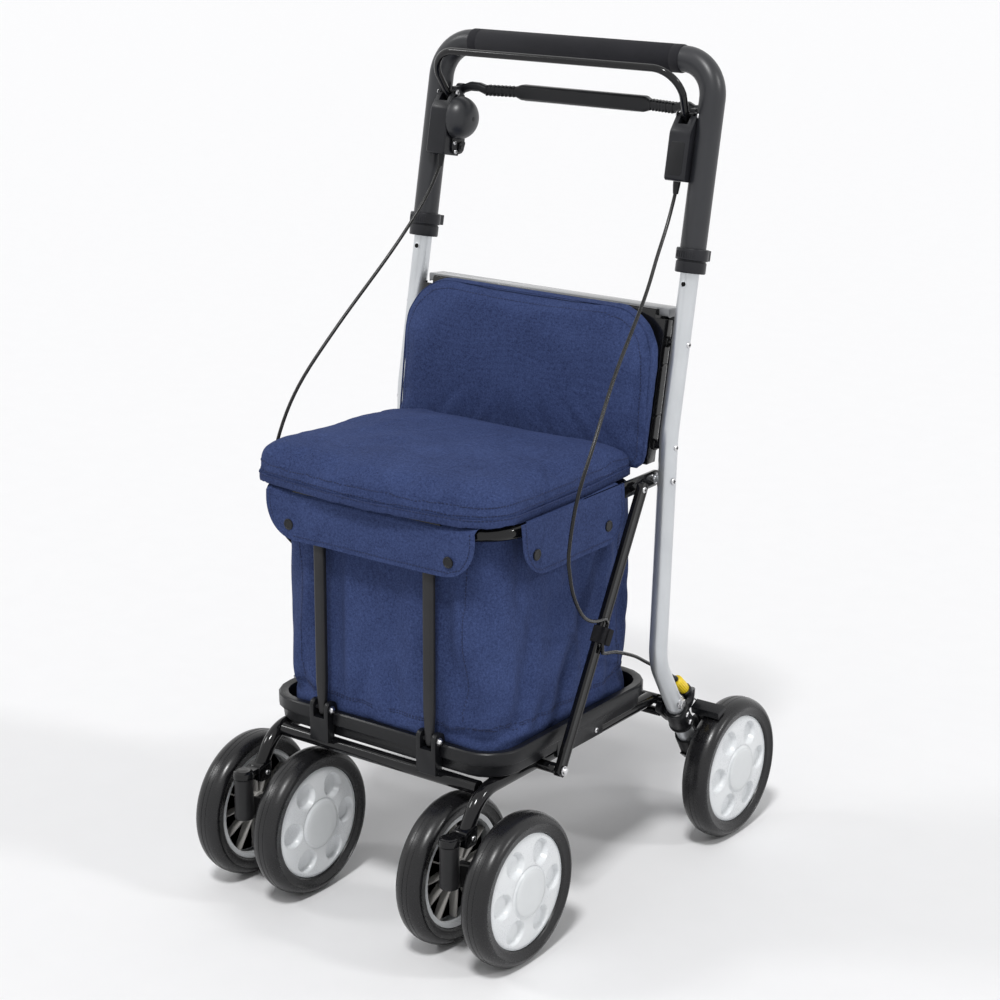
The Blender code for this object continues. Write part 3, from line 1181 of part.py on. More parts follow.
def seat_ring(inset, z):
    half = SEAT_HALF - inset
    corners = [(half, SEAT_REAR - inset), (-half, SEAT_REAR - inset), (-half, SEAT_FRONT_SIDE + inset),
               (0, SEAT_FRONT_MID - 0.0035 + inset), (half, SEAT_FRONT_SIDE + inset)]
    corner = max(SEAT_CORNER - inset, 0.020)
    rear = max(0.016 - inset * 0.1, 0.010)
    return [(x, y, z) for x, y in round_outline(corners, [rear, rear, corner, 0.50, corner], 4)]


def add_seat(materials, parent):
    """Padded seat: hem, drawn-in side and crowned top over a board let into its underside."""
    board_low = SEAT_FRONT[1] + HOOP_RADIUS + GAP
    board_high = board_low + BOARD_THICK
    board_inset = 0.0120
    rings = [seat_ring(0.0, SEAT_BOTTOM), seat_ring(-0.0008, SEAT_BOTTOM + 0.0030),
             seat_ring(0.0022, SEAT_BOTTOM + 0.0045), seat_ring(0.0004, SEAT_BOTTOM + 0.0160),
             seat_ring(0.0010, SEAT_EDGE - 0.0060), seat_ring(0.0060, SEAT_EDGE),
             seat_ring(0.0180, SEAT_EDGE + 0.0055), seat_ring(0.0420, SEAT_CROWN - 0.0020),
             seat_ring(0.0750, SEAT_CROWN)]
    pocket = loft([seat_ring(board_inset - 0.0005, SEAT_BOTTOM - 0.001),
                   seat_ring(board_inset - 0.0005, board_high + GAP)])
    make("seat_cushion", cut(loft(rings), pocket), materials["fabric"], (0, *SEAT_HINGE), parent, sharp=50)
    board = loft([seat_ring(board_inset, board_low), seat_ring(board_inset, board_high)])
    make("seat_board", board, materials["board"], (0, *SEAT_HINGE), parent)


def add_seat_hinge(materials, parent):
    """Wire under the seat's front edge that the seat turns on; it goes with the front posts as the base folds."""
    wire = rod((-SEAT_HINGE_HALF, *SEAT_HINGE), (SEAT_HINGE_HALF, *SEAT_HINGE), SEAT_HINGE_RADIUS, 8)
    make("seat_hinge", wire, materials["silver"], (0, *SEAT_HINGE), parent)


# Back

def add_backrest(materials):
    """Padded backrest: a pillow with a seam round its rear edge."""
    rings = []
    for depth, inset in ((-0.0120, 0.0060), (-0.0100, 0.0010), (-0.0080, -0.0010), (-0.0065, 0.0020),
                         (0.0020, 0.0005), (0.0080, 0.0060), (0.0110, 0.0180), (0.0125, 0.0420)):
        half = BACKREST_HALF - inset
        low, high = BACKREST_BOTTOM + inset, BACKREST_TOP - inset
        top = max(BACKREST_CORNER - inset, 0.012)
        outline = round_outline([(-half, low), (half, low), (half, high), (-half, high)],
                                [0.012, 0.012, top, top], 5)
        rings.append([(x, on_upright(z) - BACKREST_OFFSET - depth, z) for x, z in outline])
    make("backrest_cushion", loft(rings), materials["fabric"],
         (0, on_upright(BACKREST_BOTTOM) - BACKREST_OFFSET, BACKREST_BOTTOM), sharp=50)


def add_back_panel(materials):
    """Stiff panel behind the backrest: a wedge with a sloping top, edge channels and screw spacers."""
    low, high = BACKREST_BOTTOM, PANEL_TOP_Z
    front = [(on_upright(z) - PANEL_OFFSET, z) for z in (low, high)]
    outline = round_outline([front[0], front[1], PANEL_REAR, PANEL_TAIL, (front[0][0] + 0.0070, low)],
                            [0.002, 0.003, 0.006, 0.020, 0.002], 3)
    shape = plate(outline, -PANEL_HALF, PANEL_HALF)
    channel = [(on_upright(z) + back, z) for z, back in
               ((PANEL_CHANNEL_BOTTOM, -PANEL_OFFSET), (high - 0.010, -PANEL_OFFSET),
                (high - 0.014, 0.0050), (PANEL_CHANNEL_BOTTOM, 0.0050))]
    for side in (LEFT, RIGHT):
        edge = plate(channel, side * (PANEL_HALF - 0.001), side * PANEL_CHANNEL_X)
        shape = weld(shape, edge)
        for z in (PANEL_STUD_LOW_Z, PANEL_STUD_HIGH_Z):
            stud = rod((side * (PANEL_HALF - 0.004), on_upright(z), z),
                       (side * (UPRIGHT_X - UPRIGHT_RADIUS - GAP), on_upright(z), z), PANEL_STUD, 10)
            shape = weld(shape, stud)
    make("back_panel", shape, materials["plastic"], (0, on_upright(high), high))


# Assembly

def main():
    clear_scene()
    materials = make_materials()
    meshes = wheel_meshes(materials)
    base = pivot("base_fold_axis", (0, *BASE_PIVOT))
    seat_frame = pivot("seat_frame_axis", (0, *SEAT_PIVOT))
    posts = pivot("front_posts_axis", (0, *POST_PIVOT), base)
    lid = pivot("seat_lid_axis", (0, *SEAT_HINGE), posts)
    for side in (RIGHT, LEFT):
        add_upright(side, materials)
        add_rear_bracket(side, materials)
        add_wheel_holder(side, materials)
        add_brake_lever(side, materials)
        add_cable(side, materials)
        tag = "right" if side == RIGHT else "left"
        add_wheel(f"rear_{tag}", side * REAR_WHEEL_X, REAR_AXLE_Y, side, meshes, materials, None)
        add_leg(side, materials, base)
        add_caster(side, meshes, materials, base)
        add_post(side, materials, base, posts)
        add_strut(side, materials, base)
    add_rear_cross_brace(materials)
    add_base_tubes(materials, base)
    add_tray(materials, base)
    add_bag(materials, base)
    add_seat_hoop(materials, seat_frame)
    add_flaps(materials, seat_frame)
    add_seat_hinge(materials, posts)
    add_seat(materials, lid)
    add_backrest(materials)
    add_back_panel(materials)
    add_handle(materials)


main()
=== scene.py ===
# Looks of the folding shopping rollator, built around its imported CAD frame. Metres, +Z up, front to -Y.

import json
from math import cos, exp, hypot, pi, radians, sin, tan

import bmesh
import bpy
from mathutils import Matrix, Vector, noise
from mathutils.bvhtree import BVHTree


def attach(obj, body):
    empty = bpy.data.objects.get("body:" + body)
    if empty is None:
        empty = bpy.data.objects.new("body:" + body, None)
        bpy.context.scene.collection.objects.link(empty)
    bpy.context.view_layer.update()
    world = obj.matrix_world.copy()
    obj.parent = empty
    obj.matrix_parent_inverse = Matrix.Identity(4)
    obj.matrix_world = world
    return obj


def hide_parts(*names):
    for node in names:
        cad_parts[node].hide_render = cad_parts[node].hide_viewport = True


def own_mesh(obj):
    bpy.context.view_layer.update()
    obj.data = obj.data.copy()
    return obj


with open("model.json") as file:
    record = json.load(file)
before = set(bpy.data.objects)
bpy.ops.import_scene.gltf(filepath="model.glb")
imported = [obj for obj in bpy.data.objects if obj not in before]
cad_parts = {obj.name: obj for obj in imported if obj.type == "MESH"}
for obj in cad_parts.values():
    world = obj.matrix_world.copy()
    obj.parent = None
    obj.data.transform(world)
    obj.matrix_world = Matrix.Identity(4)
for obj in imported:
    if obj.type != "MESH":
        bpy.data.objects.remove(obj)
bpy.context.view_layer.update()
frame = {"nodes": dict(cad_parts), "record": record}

LEFT, RIGHT = -1, 1
SIDES = ((RIGHT, "right"), (LEFT, "left"))

# Places repeated from the CAD source
HANDLE_LEAN = radians(11.4)
HANDLE_AXIS = Vector((0, sin(HANDLE_LEAN), cos(HANDLE_LEAN)))
HANDLE_FRONT = Vector((0, -cos(HANDLE_LEAN), sin(HANDLE_LEAN)))
UPRIGHT_X = 0.184
KICK = (0.0655, 0.255)
KNEE = (0.0792, 0.517)
FOOT = (0.161, 0.18, 0.1074)
UPRIGHT_RADIUS = 0.0105
HANDLE_RADIUS = 0.0145
HANDLE_BOTTOM_Z = 0.709
HANDLE_TOP_Z = 0.9136
HANDLE_BEND = 0.0405
GRIP_HALF = 0.1425
BASE_PIVOT = (0.1165, 0.187)
SEAT_PIVOT = (0.074, 0.4665)
SEAT_FRONT = (-0.2076, 0.466)
STRUT_TOP = (0.034, 0.4645)
STRUT_FOOT = (-0.116, 0.187)
STRUT_X = 0.179
POST_X = 0.0747
POST_PIVOT = (-0.2093, 0.2278)
LOOP_PIVOT = (0.1616, 0.1368, 0.8571)
LOOP_KNEE = (0.1655, 0.1215, 0.88)
LOOP_TOP = (0.1655, 0.1085, 0.908)
LOOP_RADIUS = 0.0042
ADJUSTER = (0.168, 0.131, 0.21)
ADJUSTER_LOW = (0.168, 0.149, 0.193)
BRAKE_PIVOT = (0.1745, 0.1897, 0.141)
WHEEL_RADIUS = 0.085
AXLE_Z = WHEEL_RADIUS * cos(pi / 24)
REAR_AXLE_Y = 0.2045
CASTER_X = 0.144
SWIVEL_Y = -0.2655

# Places and sizes of the forms that are made here
HOOP_X = 0.1605
SEAT_HINGE = (-0.2196, 0.474)
SEAT_UNDER_Z = 0.4765
STRAP_SHARE = 0.478
BAG_FLOOR_Z = 0.2035
BAG_TOP_Z = 0.4575
BAG_FRONT_Y = -0.1975
FLAP_FRONT_Y = -0.2161
CABLE_FOOT_Z = 0.785
CABLE_RADIUS = 0.002
HUB_RADIUS = 0.0636
HUB_CAP_RADIUS = 0.0272
DISH_RADIUS = 0.0142
DISH_DEPTH = 0.0078
DISH_CIRCLE = 0.0445


# Mesh making: every shape is a pair of points and faces

def clamped(value):
    return min(1.0, max(0.0, value))


def eased(value):
    """A smooth step from 0 to 1."""
    value = clamped(value)
    return value * value * (3 - 2 * value)


def rough(x, y, z):
    return noise.noise(Vector((x, y, z)))


def joined(*shapes):
    points, faces = [], []
    for some_points, some_faces in shapes:
        start = len(points)
        points += list(some_points)
        faces += [tuple(start + i for i in face) for face in some_faces]
    return points, faces


def lofted(rings, closed=False):
    """Skin over rings of the same length; closed joins the last ring to the first."""
    count = len(rings[0])
    points = [Vector(p) for ring in rings for p in ring]
    faces = []
    last = len(rings) if closed else len(rings) - 1
    for k in range(last):
        a, b = k * count, (k + 1) % len(rings) * count
        for i in range(count):
            j = (i + 1) % count
            faces.append((a + i, a + j, b + j, b + i))
    if not closed:
        faces.append(tuple(reversed(range(count))))
        faces.append(tuple(range((len(rings) - 1) * count, len(rings) * count)))
    return points, faces


def side_axes(axis):
    axis = Vector(axis).normalized()
    helper = Vector((0, 0, 1)) if abs(axis.z) < 0.9 else Vector((0, 1, 0))
    across = axis.cross(helper).normalized()
    return axis, across, axis.cross(across).normalized()


def lathe(profile, centre, axis, sides, closed=False):
    """Turns (distance along the axis, radius) points about the axis."""
    axis, u, v = side_axes(axis)
    centre = Vector(centre)
    rings = []
    for along, radius in profile:
        radius = max(radius, 0.00002)
        rings.append([centre + axis * along + (u * cos(2 * pi * k / sides)
                                               + v * sin(2 * pi * k / sides)) * radius
                      for k in range(sides)])
    return lofted(rings, closed)


def rod(start, end, radius, sides, round_by=0.0):
    start, end = Vector(start), Vector(end)
    length = (end - start).length
    edge = min(round_by, radius * 0.9)
    profile = [(0, radius - edge), (edge * 0.3, radius - edge * 0.3), (edge, radius),
               (length - edge, radius), (length - edge * 0.3, radius - edge * 0.3), (length, radius - edge)]
    if not edge:
        profile = [(0, radius), (length, radius)]
    return lathe(profile, start, end - start, sides)


def path_frames(path, normal):
    path = [Vector(p) for p in path]
    tangents = []
    for k in range(len(path)):
        tangents.append((path[min(k + 1, len(path) - 1)] - path[max(k - 1, 0)]).normalized())
    normal = Vector(normal)
    frames = []
    for point, tangent in zip(path, tangents):
        normal = (normal - tangent * normal.dot(tangent)).normalized()
        frames.append((point, normal, tangent.cross(normal)))
    return frames


def swept(path, sections, normal=(1, 0, 0)):
    """Skin along a path; sections are one outline or one outline for each point of the path."""
    if not isinstance(sections[0][0], (tuple, list, Vector)):
        sections = [sections] * len(path)
    rings = [[point + u * a + v * b for a, b in section]
             for (point, u, v), section in zip(path_frames(path, normal), sections)]
    return lofted(rings)


def circle(radius, sides):
    return [(radius * cos(2 * pi * k / sides), radius * sin(2 * pi * k / sides)) for k in range(sides)]


def bent(corners, radii, steps):
    """A path through corners, each one rounded to its radius."""
    corners = [Vector(c) for c in corners]
    if not isinstance(radii, (list, tuple)):
        radii = [radii] * (len(corners) - 2)
    path = [corners[0]]
    for before, corner, after, radius in zip(corners, corners[1:], corners[2:], radii):
        a, b = (before - corner).normalized(), (after - corner).normalized()
        half = a.angle(b) / 2
        reach = radius / tan(half)
        centre = corner + (a + b).normalized() * radius / sin(half)
        first, last = corner + a * reach - centre, corner + b * reach - centre
        for k in range(steps + 1):
            path.append(centre + first.slerp(last, k / steps, first).normalized() * radius)
    path.append(corners[-1])
    return path


def rounded(corners, radii, steps):
    """A closed flat outline with rounded corners."""
    corners = [Vector((*c, 0)) for c in corners]
    if not isinstance(radii, (list, tuple)):
        radii = [radii] * len(corners)
    outline = []
    for k, corner in enumerate(corners):
        a = (corners[k - 1] - corner).normalized()
        b = (corners[(k + 1) % len(corners)] - corner).normalized()
        half = a.angle(b) / 2
        reach = radii[k] / tan(half)
        centre = corner + (a + b).normalized() * radii[k] / sin(half)
        first, last = corner + a * reach - centre, corner + b * reach - centre
        for step in range(steps + 1):
            place = centre + first.slerp(last, step / steps, first).normalized() * radii[k]
            outline.append((place.x, place.y))
    return outline


def spaced(points, count, parts):
    """The first count points of a path that is cut into so many parts of one length."""
    reach = [0.0]
    for a, b in zip(points, points[1:]):
        reach.append(reach[-1] + (b - a).length)
    made, k = [], 0
    for i in range(count):
        want = reach[-1] * i / parts
        while k < len(points) - 2 and reach[k + 1] < want:
            k += 1
        made.append(points[k].lerp(points[k + 1], (want - reach[k]) / (reach[k + 1] - reach[k])))
    return made


def slab(outline, origin, u, v, thick, round_by):
    """An outline in the plane of u and v, thickened along their cross product, with eased edges."""
    origin, u, v = Vector(origin), Vector(u).normalized(), Vector(v).normalized()
    out = u.cross(v)
    middle = Vector((sum(a for a, b in outline), sum(b for a, b in outline))) / len(outline)
    size = max(hypot(a - middle.x, b - middle.y) for a, b in outline)
    rings = []
    for depth, inset in ((0, round_by), (round_by * 0.3, round_by * 0.3), (round_by, 0),
                         (thick - round_by, 0), (thick - round_by * 0.3, round_by * 0.3),
                         (thick, round_by)):
        share = 1 - inset / size
        rings.append([origin + u * (middle.x + (a - middle.x) * share)
                      + v * (middle.y + (b - middle.y) * share) + out * depth for a, b in outline])
    return lofted(rings)


def oblong(a0, a1, b0, b1):
    return [(a0, b0), (a1, b0), (a1, b1), (a0, b1)]


def block(low, high, round_by):
    low, high = Vector(low), Vector(high)
    size = high - low
    outline = rounded(oblong(0, size.x, 0, size.y), round_by, 3)
    return slab(outline, low, (1, 0, 0), (0, 1, 0), size.z, round_by)


def mirror(place, side):
    return (side * abs(place[0]), place[1], place[2])


def handle_point(x, z, forward=0.0):
    """A point on the handle's plane at a height, or in front of it."""
    y = KNEE[0] + (z - KNEE[1]) * tan(HANDLE_LEAN)
    return Vector((x, y, z)) + HANDLE_FRONT * forward


def added(name, data):
    """A new object in the scene."""
    obj = bpy.data.objects.new(name, data)
    bpy.context.collection.objects.link(obj)
    return obj


def reworked(mesh, change):
    """Puts a mesh through a bmesh edit."""
    work = bmesh.new()
    work.from_mesh(mesh)
    change(work)
    work.to_mesh(mesh)
    work.free()


def mesh_of(name, shape):
    mesh = bpy.data.meshes.new(name)
    mesh.from_pydata([tuple(p) for p in shape[0]], [], shape[1])
    mesh.validate()
    reworked(mesh, lambda work: bmesh.ops.recalc_face_normals(work, faces=work.faces))
    return mesh


def subdivided(obj):
    modifier = obj.modifiers.new("Subdivision", "SUBSURF")
    modifier.levels = modifier.render_levels = 1


def put(name, shape, finish, body, smooth=40, replaces=()):
    """Makes the piece, shades it, and lets it ride on its body."""
    mesh = mesh_of(name, shape)
    mesh.materials.append(MATERIALS[finish])
    obj = added(name, mesh)
    mesh.shade_smooth()
    mesh.set_sharp_from_angle(angle=radians(smooth))
    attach(obj, body)
    if replaces:
        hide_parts(*replaces)
    return obj


def softened(node, finish, width, segments, angle):
    """Stands a copy of a moulded CAD node in its place, with eased edges."""
    def plain(work):
        bmesh.ops.remove_doubles(work, verts=work.verts, dist=0.00002)
        bmesh.ops.dissolve_limit(work, angle_limit=radians(1.0), verts=work.verts, edges=work.edges)

    source = frame["nodes"][node]
    mesh = source.data.copy()
    reworked(mesh, plain)
    mesh.materials.clear()
    mesh.materials.append(MATERIALS[finish])
    obj = added(FORM_NAMES.get(node, node + "_form"), mesh)
    obj.matrix_world = source.matrix_world
    bevel = obj.modifiers.new("Bevel", "BEVEL")
    bevel.width = width
    bevel.segments = segments
    bevel.limit_method = "ANGLE"
    bevel.angle_limit = radians(angle)
    bevel.harden_normals = True
    mesh.shade_smooth()
    record = frame["record"]
    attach(obj, next(b for b, nodes in record["behaviour"]["bodies"].items() if node in nodes))
    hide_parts(node)
    return obj


# Materials

def shader(name, colour, roughness, metallic, **sockets):
    material = bpy.data.materials.new(name)
    material.use_nodes = True
    material.diffuse_color = (*colour, 1)
    surface = material.node_tree.nodes["Principled BSDF"]
    surface.inputs["Base Color"].default_value = (*colour, 1)
    surface.inputs["Roughness"].default_value = roughness
    surface.inputs["Metallic"].default_value = metallic
    for socket, value in sockets.items():
        surface.inputs[socket.replace("_", " ")].default_value = value
    return material


def add_node(material, kind, links=None, **values):
    """A node whose settings and inputs come by name; links gives inputs fed by other nodes' outputs."""
    tree = material.node_tree
    made = tree.nodes.new("ShaderNode" + kind)
    for key, value in values.items():
        key = key.replace("__", " ")
        if key in made.inputs:
            made.inputs[key].default_value = value
        else:
            setattr(made, key, value)
    for key, output in (links or {}).items():
        if isinstance(output, float):
            made.inputs[key].default_value = output
        else:
            tree.links.new(output, made.inputs[key])
    return made


def feed(material, socket, output):
    material.node_tree.links.new(output, material.node_tree.nodes["Principled BSDF"].inputs[socket])


def mixed(material, a, b, operation="ADD"):
    return add_node(material, "Math", {0: a, 1: b}, operation=operation).outputs[0]


def place_of(material):
    return add_node(material, "TexCoord").outputs["Object"]


def noise_of(material, scale, detail, stretch=(1, 1, 1)):
    mapped = add_node(material, "Mapping", {"Vector": place_of(material)}, Scale=stretch)
    return add_node(material, "TexNoise", {"Vector": mapped.outputs[0]}, Scale=scale,
                    Detail=detail).outputs["Fac"]


def ranged(material, value, low, high, from_low=0.3, from_high=0.7):
    made = add_node(material, "MapRange", {"Value": value}, From__Min=from_low, From__Max=from_high,
                    To__Min=low, To__Max=high)
    return made.outputs["Result"]


def coloured(material, value, first, second):
    ramp = add_node(material, "ValToRGB", {"Fac": value})
    ramp.color_ramp.elements[0].color = (*first, 1)
    ramp.color_ramp.elements[1].color = (*second, 1)
    ramp.color_ramp.elements[0].position = 0.3
    ramp.color_ramp.elements[1].position = 0.7
    return ramp.outputs["Color"]


def bumped(material, value, strength, distance, normal=None):
    links = {"Height": value}
    if normal:
        links["Normal"] = normal
    made = add_node(material, "Bump", links, Strength=strength, Distance=distance)
    feed(material, "Normal", made.outputs["Normal"])
    return made.outputs["Normal"]


def grained(name, colour, other, roughness, scale, bump, metallic=0.0, spread=0.08, stretch=(1, 1, 1),
            **sockets):
    """A finish whose colour, roughness and surface vary with one fine and one broad grain."""
    material = shader(name, colour, roughness, metallic, **sockets)
    broad = noise_of(material, 22.0, 4.0)
    fine = noise_of(material, scale, 2.0, stretch)
    feed(material, "Base Color", coloured(material, broad, colour, other))
    both = mixed(material, fine, broad)
    feed(material, "Roughness", ranged(material, both, roughness - spread, roughness + spread, 0.7, 1.3))
    if bump:
        bumped(material, fine, 0.6, bump)
    return material


def woven(name, dark, light, pitch, bump, wrinkle=0.0, **sockets):
    """Plain weave: crossing ribs along the three axes, with slubs and a broad change of tone."""
    material = shader(name, dark, 0.92, 0.0, **sockets)
    rate = 2 * pi / (20 * pitch)
    heights = []
    for direction in "XYZ":
        wave = add_node(material, "TexWave", {"Vector": place_of(material)}, Scale=rate, Distortion=0.6,
                        Detail__Scale=2.0, bands_direction=direction)
        heights.append(wave.outputs["Fac"])
    total = mixed(material, mixed(material, heights[0], heights[1]), heights[2])
    fine = mixed(material, noise_of(material, 1000.0, 3.0), 3.0, "MULTIPLY")
    weave = mixed(material, fine, mixed(material, total, 0.22, "MULTIPLY"))
    broad = noise_of(material, 14.0, 5.0)
    slub = noise_of(material, 430.0, 2.0)
    threads = mixed(material, ranged(material, weave, 0.0, 0.4, 1.3, 2.4), ranged(material, slub, 0.0, 0.38))
    tone = mixed(material, threads, ranged(material, broad, 0.0, 0.22))
    ramp = add_node(material, "ValToRGB", {"Fac": tone})
    ramp.color_ramp.elements[0].color = (*dark, 1)
    ramp.color_ramp.elements[1].color = (*light, 1)
    feed(material, "Base Color", ramp.outputs["Color"])
    normal = bumped(material, weave, 0.7, bump)
    if wrinkle:
        crease = noise_of(material, 30.0, 4.0, (1, 1, 1.6))
        bumped(material, crease, 0.5, wrinkle, normal)
    return material


# Each finish: its slot, its maker, the material's name, two colours, then grained or woven's own numbers
FINISHES = {
    "silver": ("silver_tube", grained, "satin_silver_tube", (0.56, 0.58, 0.6), (0.62, 0.64, 0.66), 0.34,
        900.0, 0.00003, dict(metallic=0.75, spread=0.05, stretch=(1, 1, 0.04))),
    "handle": ("matt_black_steel", grained, "fine_grain_black_paint", (0.013, 0.014, 0.017),
        (0.019, 0.02, 0.024), 0.38, 1500.0, 0.00005, dict(spread=0.05, Specular_IOR_Level=0.5)),
    "gloss": ("gloss_black_steel", grained, "gloss_black_paint", (0.003, 0.003, 0.0035),
        (0.005, 0.005, 0.006), 0.11, 160.0, 0.00002, dict(spread=0.03, Specular_IOR_Level=0.35)),
    "matt": ("matt_black_steel", grained, "matt_black_metal", (0.012, 0.012, 0.013), (0.018, 0.018, 0.02),
        0.42, 1100.0, 0.00004, dict(Specular_IOR_Level=0.3)),
    "gloss_plastic": ("black_plastic", grained, "gloss_black_plastic", (0.005, 0.005, 0.006),
        (0.008, 0.008, 0.009), 0.14, 700.0, 0.00002, dict(spread=0.03, Specular_IOR_Level=0.4)),
    # Back panel cap: black gloss plastic given a grey base colour, a painted reflection of the bright room on
    # its top.
    "panel_cap": ("black_plastic", grained, "polished_grey_plastic", (0.17, 0.175, 0.185),
        (0.21, 0.215, 0.225), 0.16, 300.0, 0.00001, dict(spread=0.03, Specular_IOR_Level=0.6)),
    "plastic": ("black_plastic", grained, "moulded_black_plastic", (0.0045, 0.0048, 0.006),
        (0.008, 0.0084, 0.01), 0.34, 1300.0, 0.00004, dict(Specular_IOR_Level=0.28)),
    "charcoal": ("black_plastic", grained, "moulded_charcoal_plastic", (0.01, 0.0105, 0.013),
        (0.016, 0.0165, 0.02), 0.36, 1300.0, 0.00004, dict(Specular_IOR_Level=0.28)),
    "barrel": ("matt_black_steel", grained, "grey_black_caster_body", (0.01, 0.01, 0.011),
        (0.017, 0.017, 0.018), 0.42, 900.0, 0.00006, dict(Specular_IOR_Level=0.28)),
    "foam": ("charcoal_foam", grained, "grip_foam", (0.013, 0.013, 0.016), (0.021, 0.021, 0.025), 0.9,
        1200.0, 0.00025, dict(Specular_IOR_Level=0.2, Sheen_Weight=0.05, Sheen_Roughness=0.6)),
    "tyre": ("black_rubber", grained, "black_tyre_rubber", (0.006, 0.006, 0.007), (0.01, 0.01, 0.011), 0.3,
        600.0, 0.00002, dict(Specular_IOR_Level=0.4)),
    "hub": ("pale_grey_hub", grained, "pale_grey_hub", (0.72, 0.74, 0.76), (0.78, 0.8, 0.81), 0.3, 700.0,
        0.00003, dict()),
    "cap": ("pale_grey_hub", grained, "grey_hub_cap", (0.66, 0.68, 0.69), (0.71, 0.73, 0.74), 0.34, 700.0,
        0.00003, dict()),
    "ribs": ("pale_grey_hub", grained, "hub_inside", (0.38, 0.37, 0.35), (0.48, 0.47, 0.45), 0.55, 500.0,
        0.00006, dict()),
    "zinc": ("silver_tube", grained, "zinc_screw", (0.58, 0.58, 0.6), (0.66, 0.66, 0.66), 0.28, 1500.0,
        0.00002, dict(metallic=1.0)),
    # Near-black fill for holes and screw crosses: painted shade standing for the dark inside of a recess.
    "slot": ("black_plastic", grained, "dark_recess", (0.003, 0.003, 0.003), (0.005, 0.005, 0.005), 0.8,
        900.0, 0.00002, dict(Specular_IOR_Level=0.15)),
    "wire": ("silver_tube", grained, "steel_wire", (0.45, 0.46, 0.47), (0.56, 0.56, 0.57), 0.3, 1500.0,
        0.00003, dict(metallic=1.0)),
    "yellow": ("yellow_plastic", grained, "yellow_plastic", (0.86, 0.6, 0.01), (0.92, 0.68, 0.02), 0.34,
        700.0, 0.00004, dict()),
    "cable": ("cable_sheath", grained, "cable_sheath", (0.005, 0.005, 0.005), (0.008, 0.008, 0.008), 0.26,
        500.0, 0.00002, dict(Specular_IOR_Level=0.3)),
    "board": ("seat_board", grained, "seat_board", (0.01, 0.01, 0.01), (0.016, 0.016, 0.016), 0.75, 600.0,
        0.0001, dict()),
    "navy": ("navy_fabric", woven, "navy_weave", (0.012, 0.019, 0.06), (0.06, 0.09, 0.222), 0.0008, 0.00022,
        dict(wrinkle=0.001, Specular_IOR_Level=0.15)),
    "binding": ("navy_fabric", woven, "navy_binding", (0.011, 0.017, 0.053), (0.05, 0.075, 0.188), 0.0007,
        0.00014, dict(Specular_IOR_Level=0.15)),
    "thread": ("navy_fabric", grained, "navy_thread", (0.016, 0.023, 0.062), (0.03, 0.042, 0.105), 0.7,
        900.0, 0.00005, dict(Specular_IOR_Level=0.2)),
    "webbing": ("charcoal_strap", woven, "charcoal_webbing", (0.008, 0.008, 0.009), (0.022, 0.022, 0.025),
        0.0011, 0.0002, dict(Specular_IOR_Level=0.15)),
}
MATERIALS = {}
for key, (slot, make, *values, extra) in FINISHES.items():
    MATERIALS[key] = make(*values, **extra)


# Moulded CAD nodes that keep their form: name or both sides' names, finish, edge width, segments, angle
MOULDED = (
    ("rear_bracket_{}", "plastic", 0.0007, 2, 40), ("wheel_holder_{}", "plastic", 0.0007, 2, 40),
    ("brake_lever_{}", "plastic", 0.0006, 2, 30), ("caster_fork_{}", "barrel", 0.001, 3, 40),
    ("lever_housing_{}", "charcoal", 0.0013, 3, 35), ("parking_bar", "plastic", 0.0012, 3, 35),
    ("bell", "plastic", 0.0005, 2, 40), ("bell_lever", "plastic", 0.0005, 2, 30),
    ("leg_tube_{}", "gloss", 0.0008, 2, 40), ("post_clip_{}", "plastic", 0.0009, 3, 35),
    ("tray", "plastic", 0.001, 3, 30), ("cable_strap_{}", "webbing", 0.0006, 2, 40),
    ("back_panel", "gloss_plastic", 0.0012, 3, 30), ("seat_hoop", "gloss", 0.0006, 2, 40),
)
FORM_NAMES = {"bell": "bell_bracket_form"}


def add_moulded():
    for pattern, *finish in MOULDED:
        for node in sorted({pattern.format(tag) for side, tag in SIDES}):
            softened(node, *finish)


# Small fasteners

def screw(place, axis, radius):
    """A pan head as (head shape, recess shape); the recess is a dark cross set into the head's top, painted
    shade that stands for a sunk cross.
    """
    height = 0.0018
    axis, u, v = side_axes(axis)
    place = Vector(place)
    dome = [(0, radius), (height * 0.35, radius), (height * 0.75, radius * 0.86),
            (height * 0.95, radius * 0.6), (height, radius * 0.3), (height, 0)]
    head = lathe(dome, place, axis, 20)
    wide, reach = radius * 0.16, radius * 0.55
    arms = []
    for a, b in ((u, v), (v, u)):
        arms.append(slab(oblong(-reach, reach, -wide, wide),
                         place + axis * (height * 0.8), a, b if a.cross(b).dot(axis) > 0 else -b,
                         height * 0.24, 0.00005))
    return head, joined(*arms)


def bolt_head(place, axis, flats=0.01, height=0.0042, washer=0.0068):
    """A hexagon head with its washer."""
    axis = Vector(axis).normalized()
    place = Vector(place)
    corner = flats / 2 / cos(pi / 6)
    plain = lathe([(0, washer), (0.0009, washer), (0.0011, washer - 0.0003), (0.0011, 0)], place, axis, 28)
    head = lathe([(0.0011, corner * 0.98), (0.0014, corner), (height - 0.0006, corner),
                  (height, corner * 0.86), (height, 0)], place, axis, 6)
    return joined(plain, head)


def dome_nut(place, axis, radius, height):
    profile = [(0, radius * 1.25), (0.0008, radius * 1.25), (0.001, radius)]
    for k in range(7):
        angle = pi / 2 * k / 6
        profile.append((0.002 + (height - 0.002) * sin(angle), radius * 0.96 * cos(angle)))
    return lathe(profile, place, axis, 24)


def fasteners(name, body, places):
    """Screws of one body as one piece of metal and one of dark crosses painted as recess shade; places are
    (point, axis, radius).
    """
    made = [screw(place, axis, radius) for place, axis, radius in places]
    put(f"screws_{name}", joined(*(head for head, recess in made)), "zinc", body, 50)
    put(f"screw_recesses_{name}", joined(*(recess for head, recess in made)), "slot", body, 30)


# Rear frame

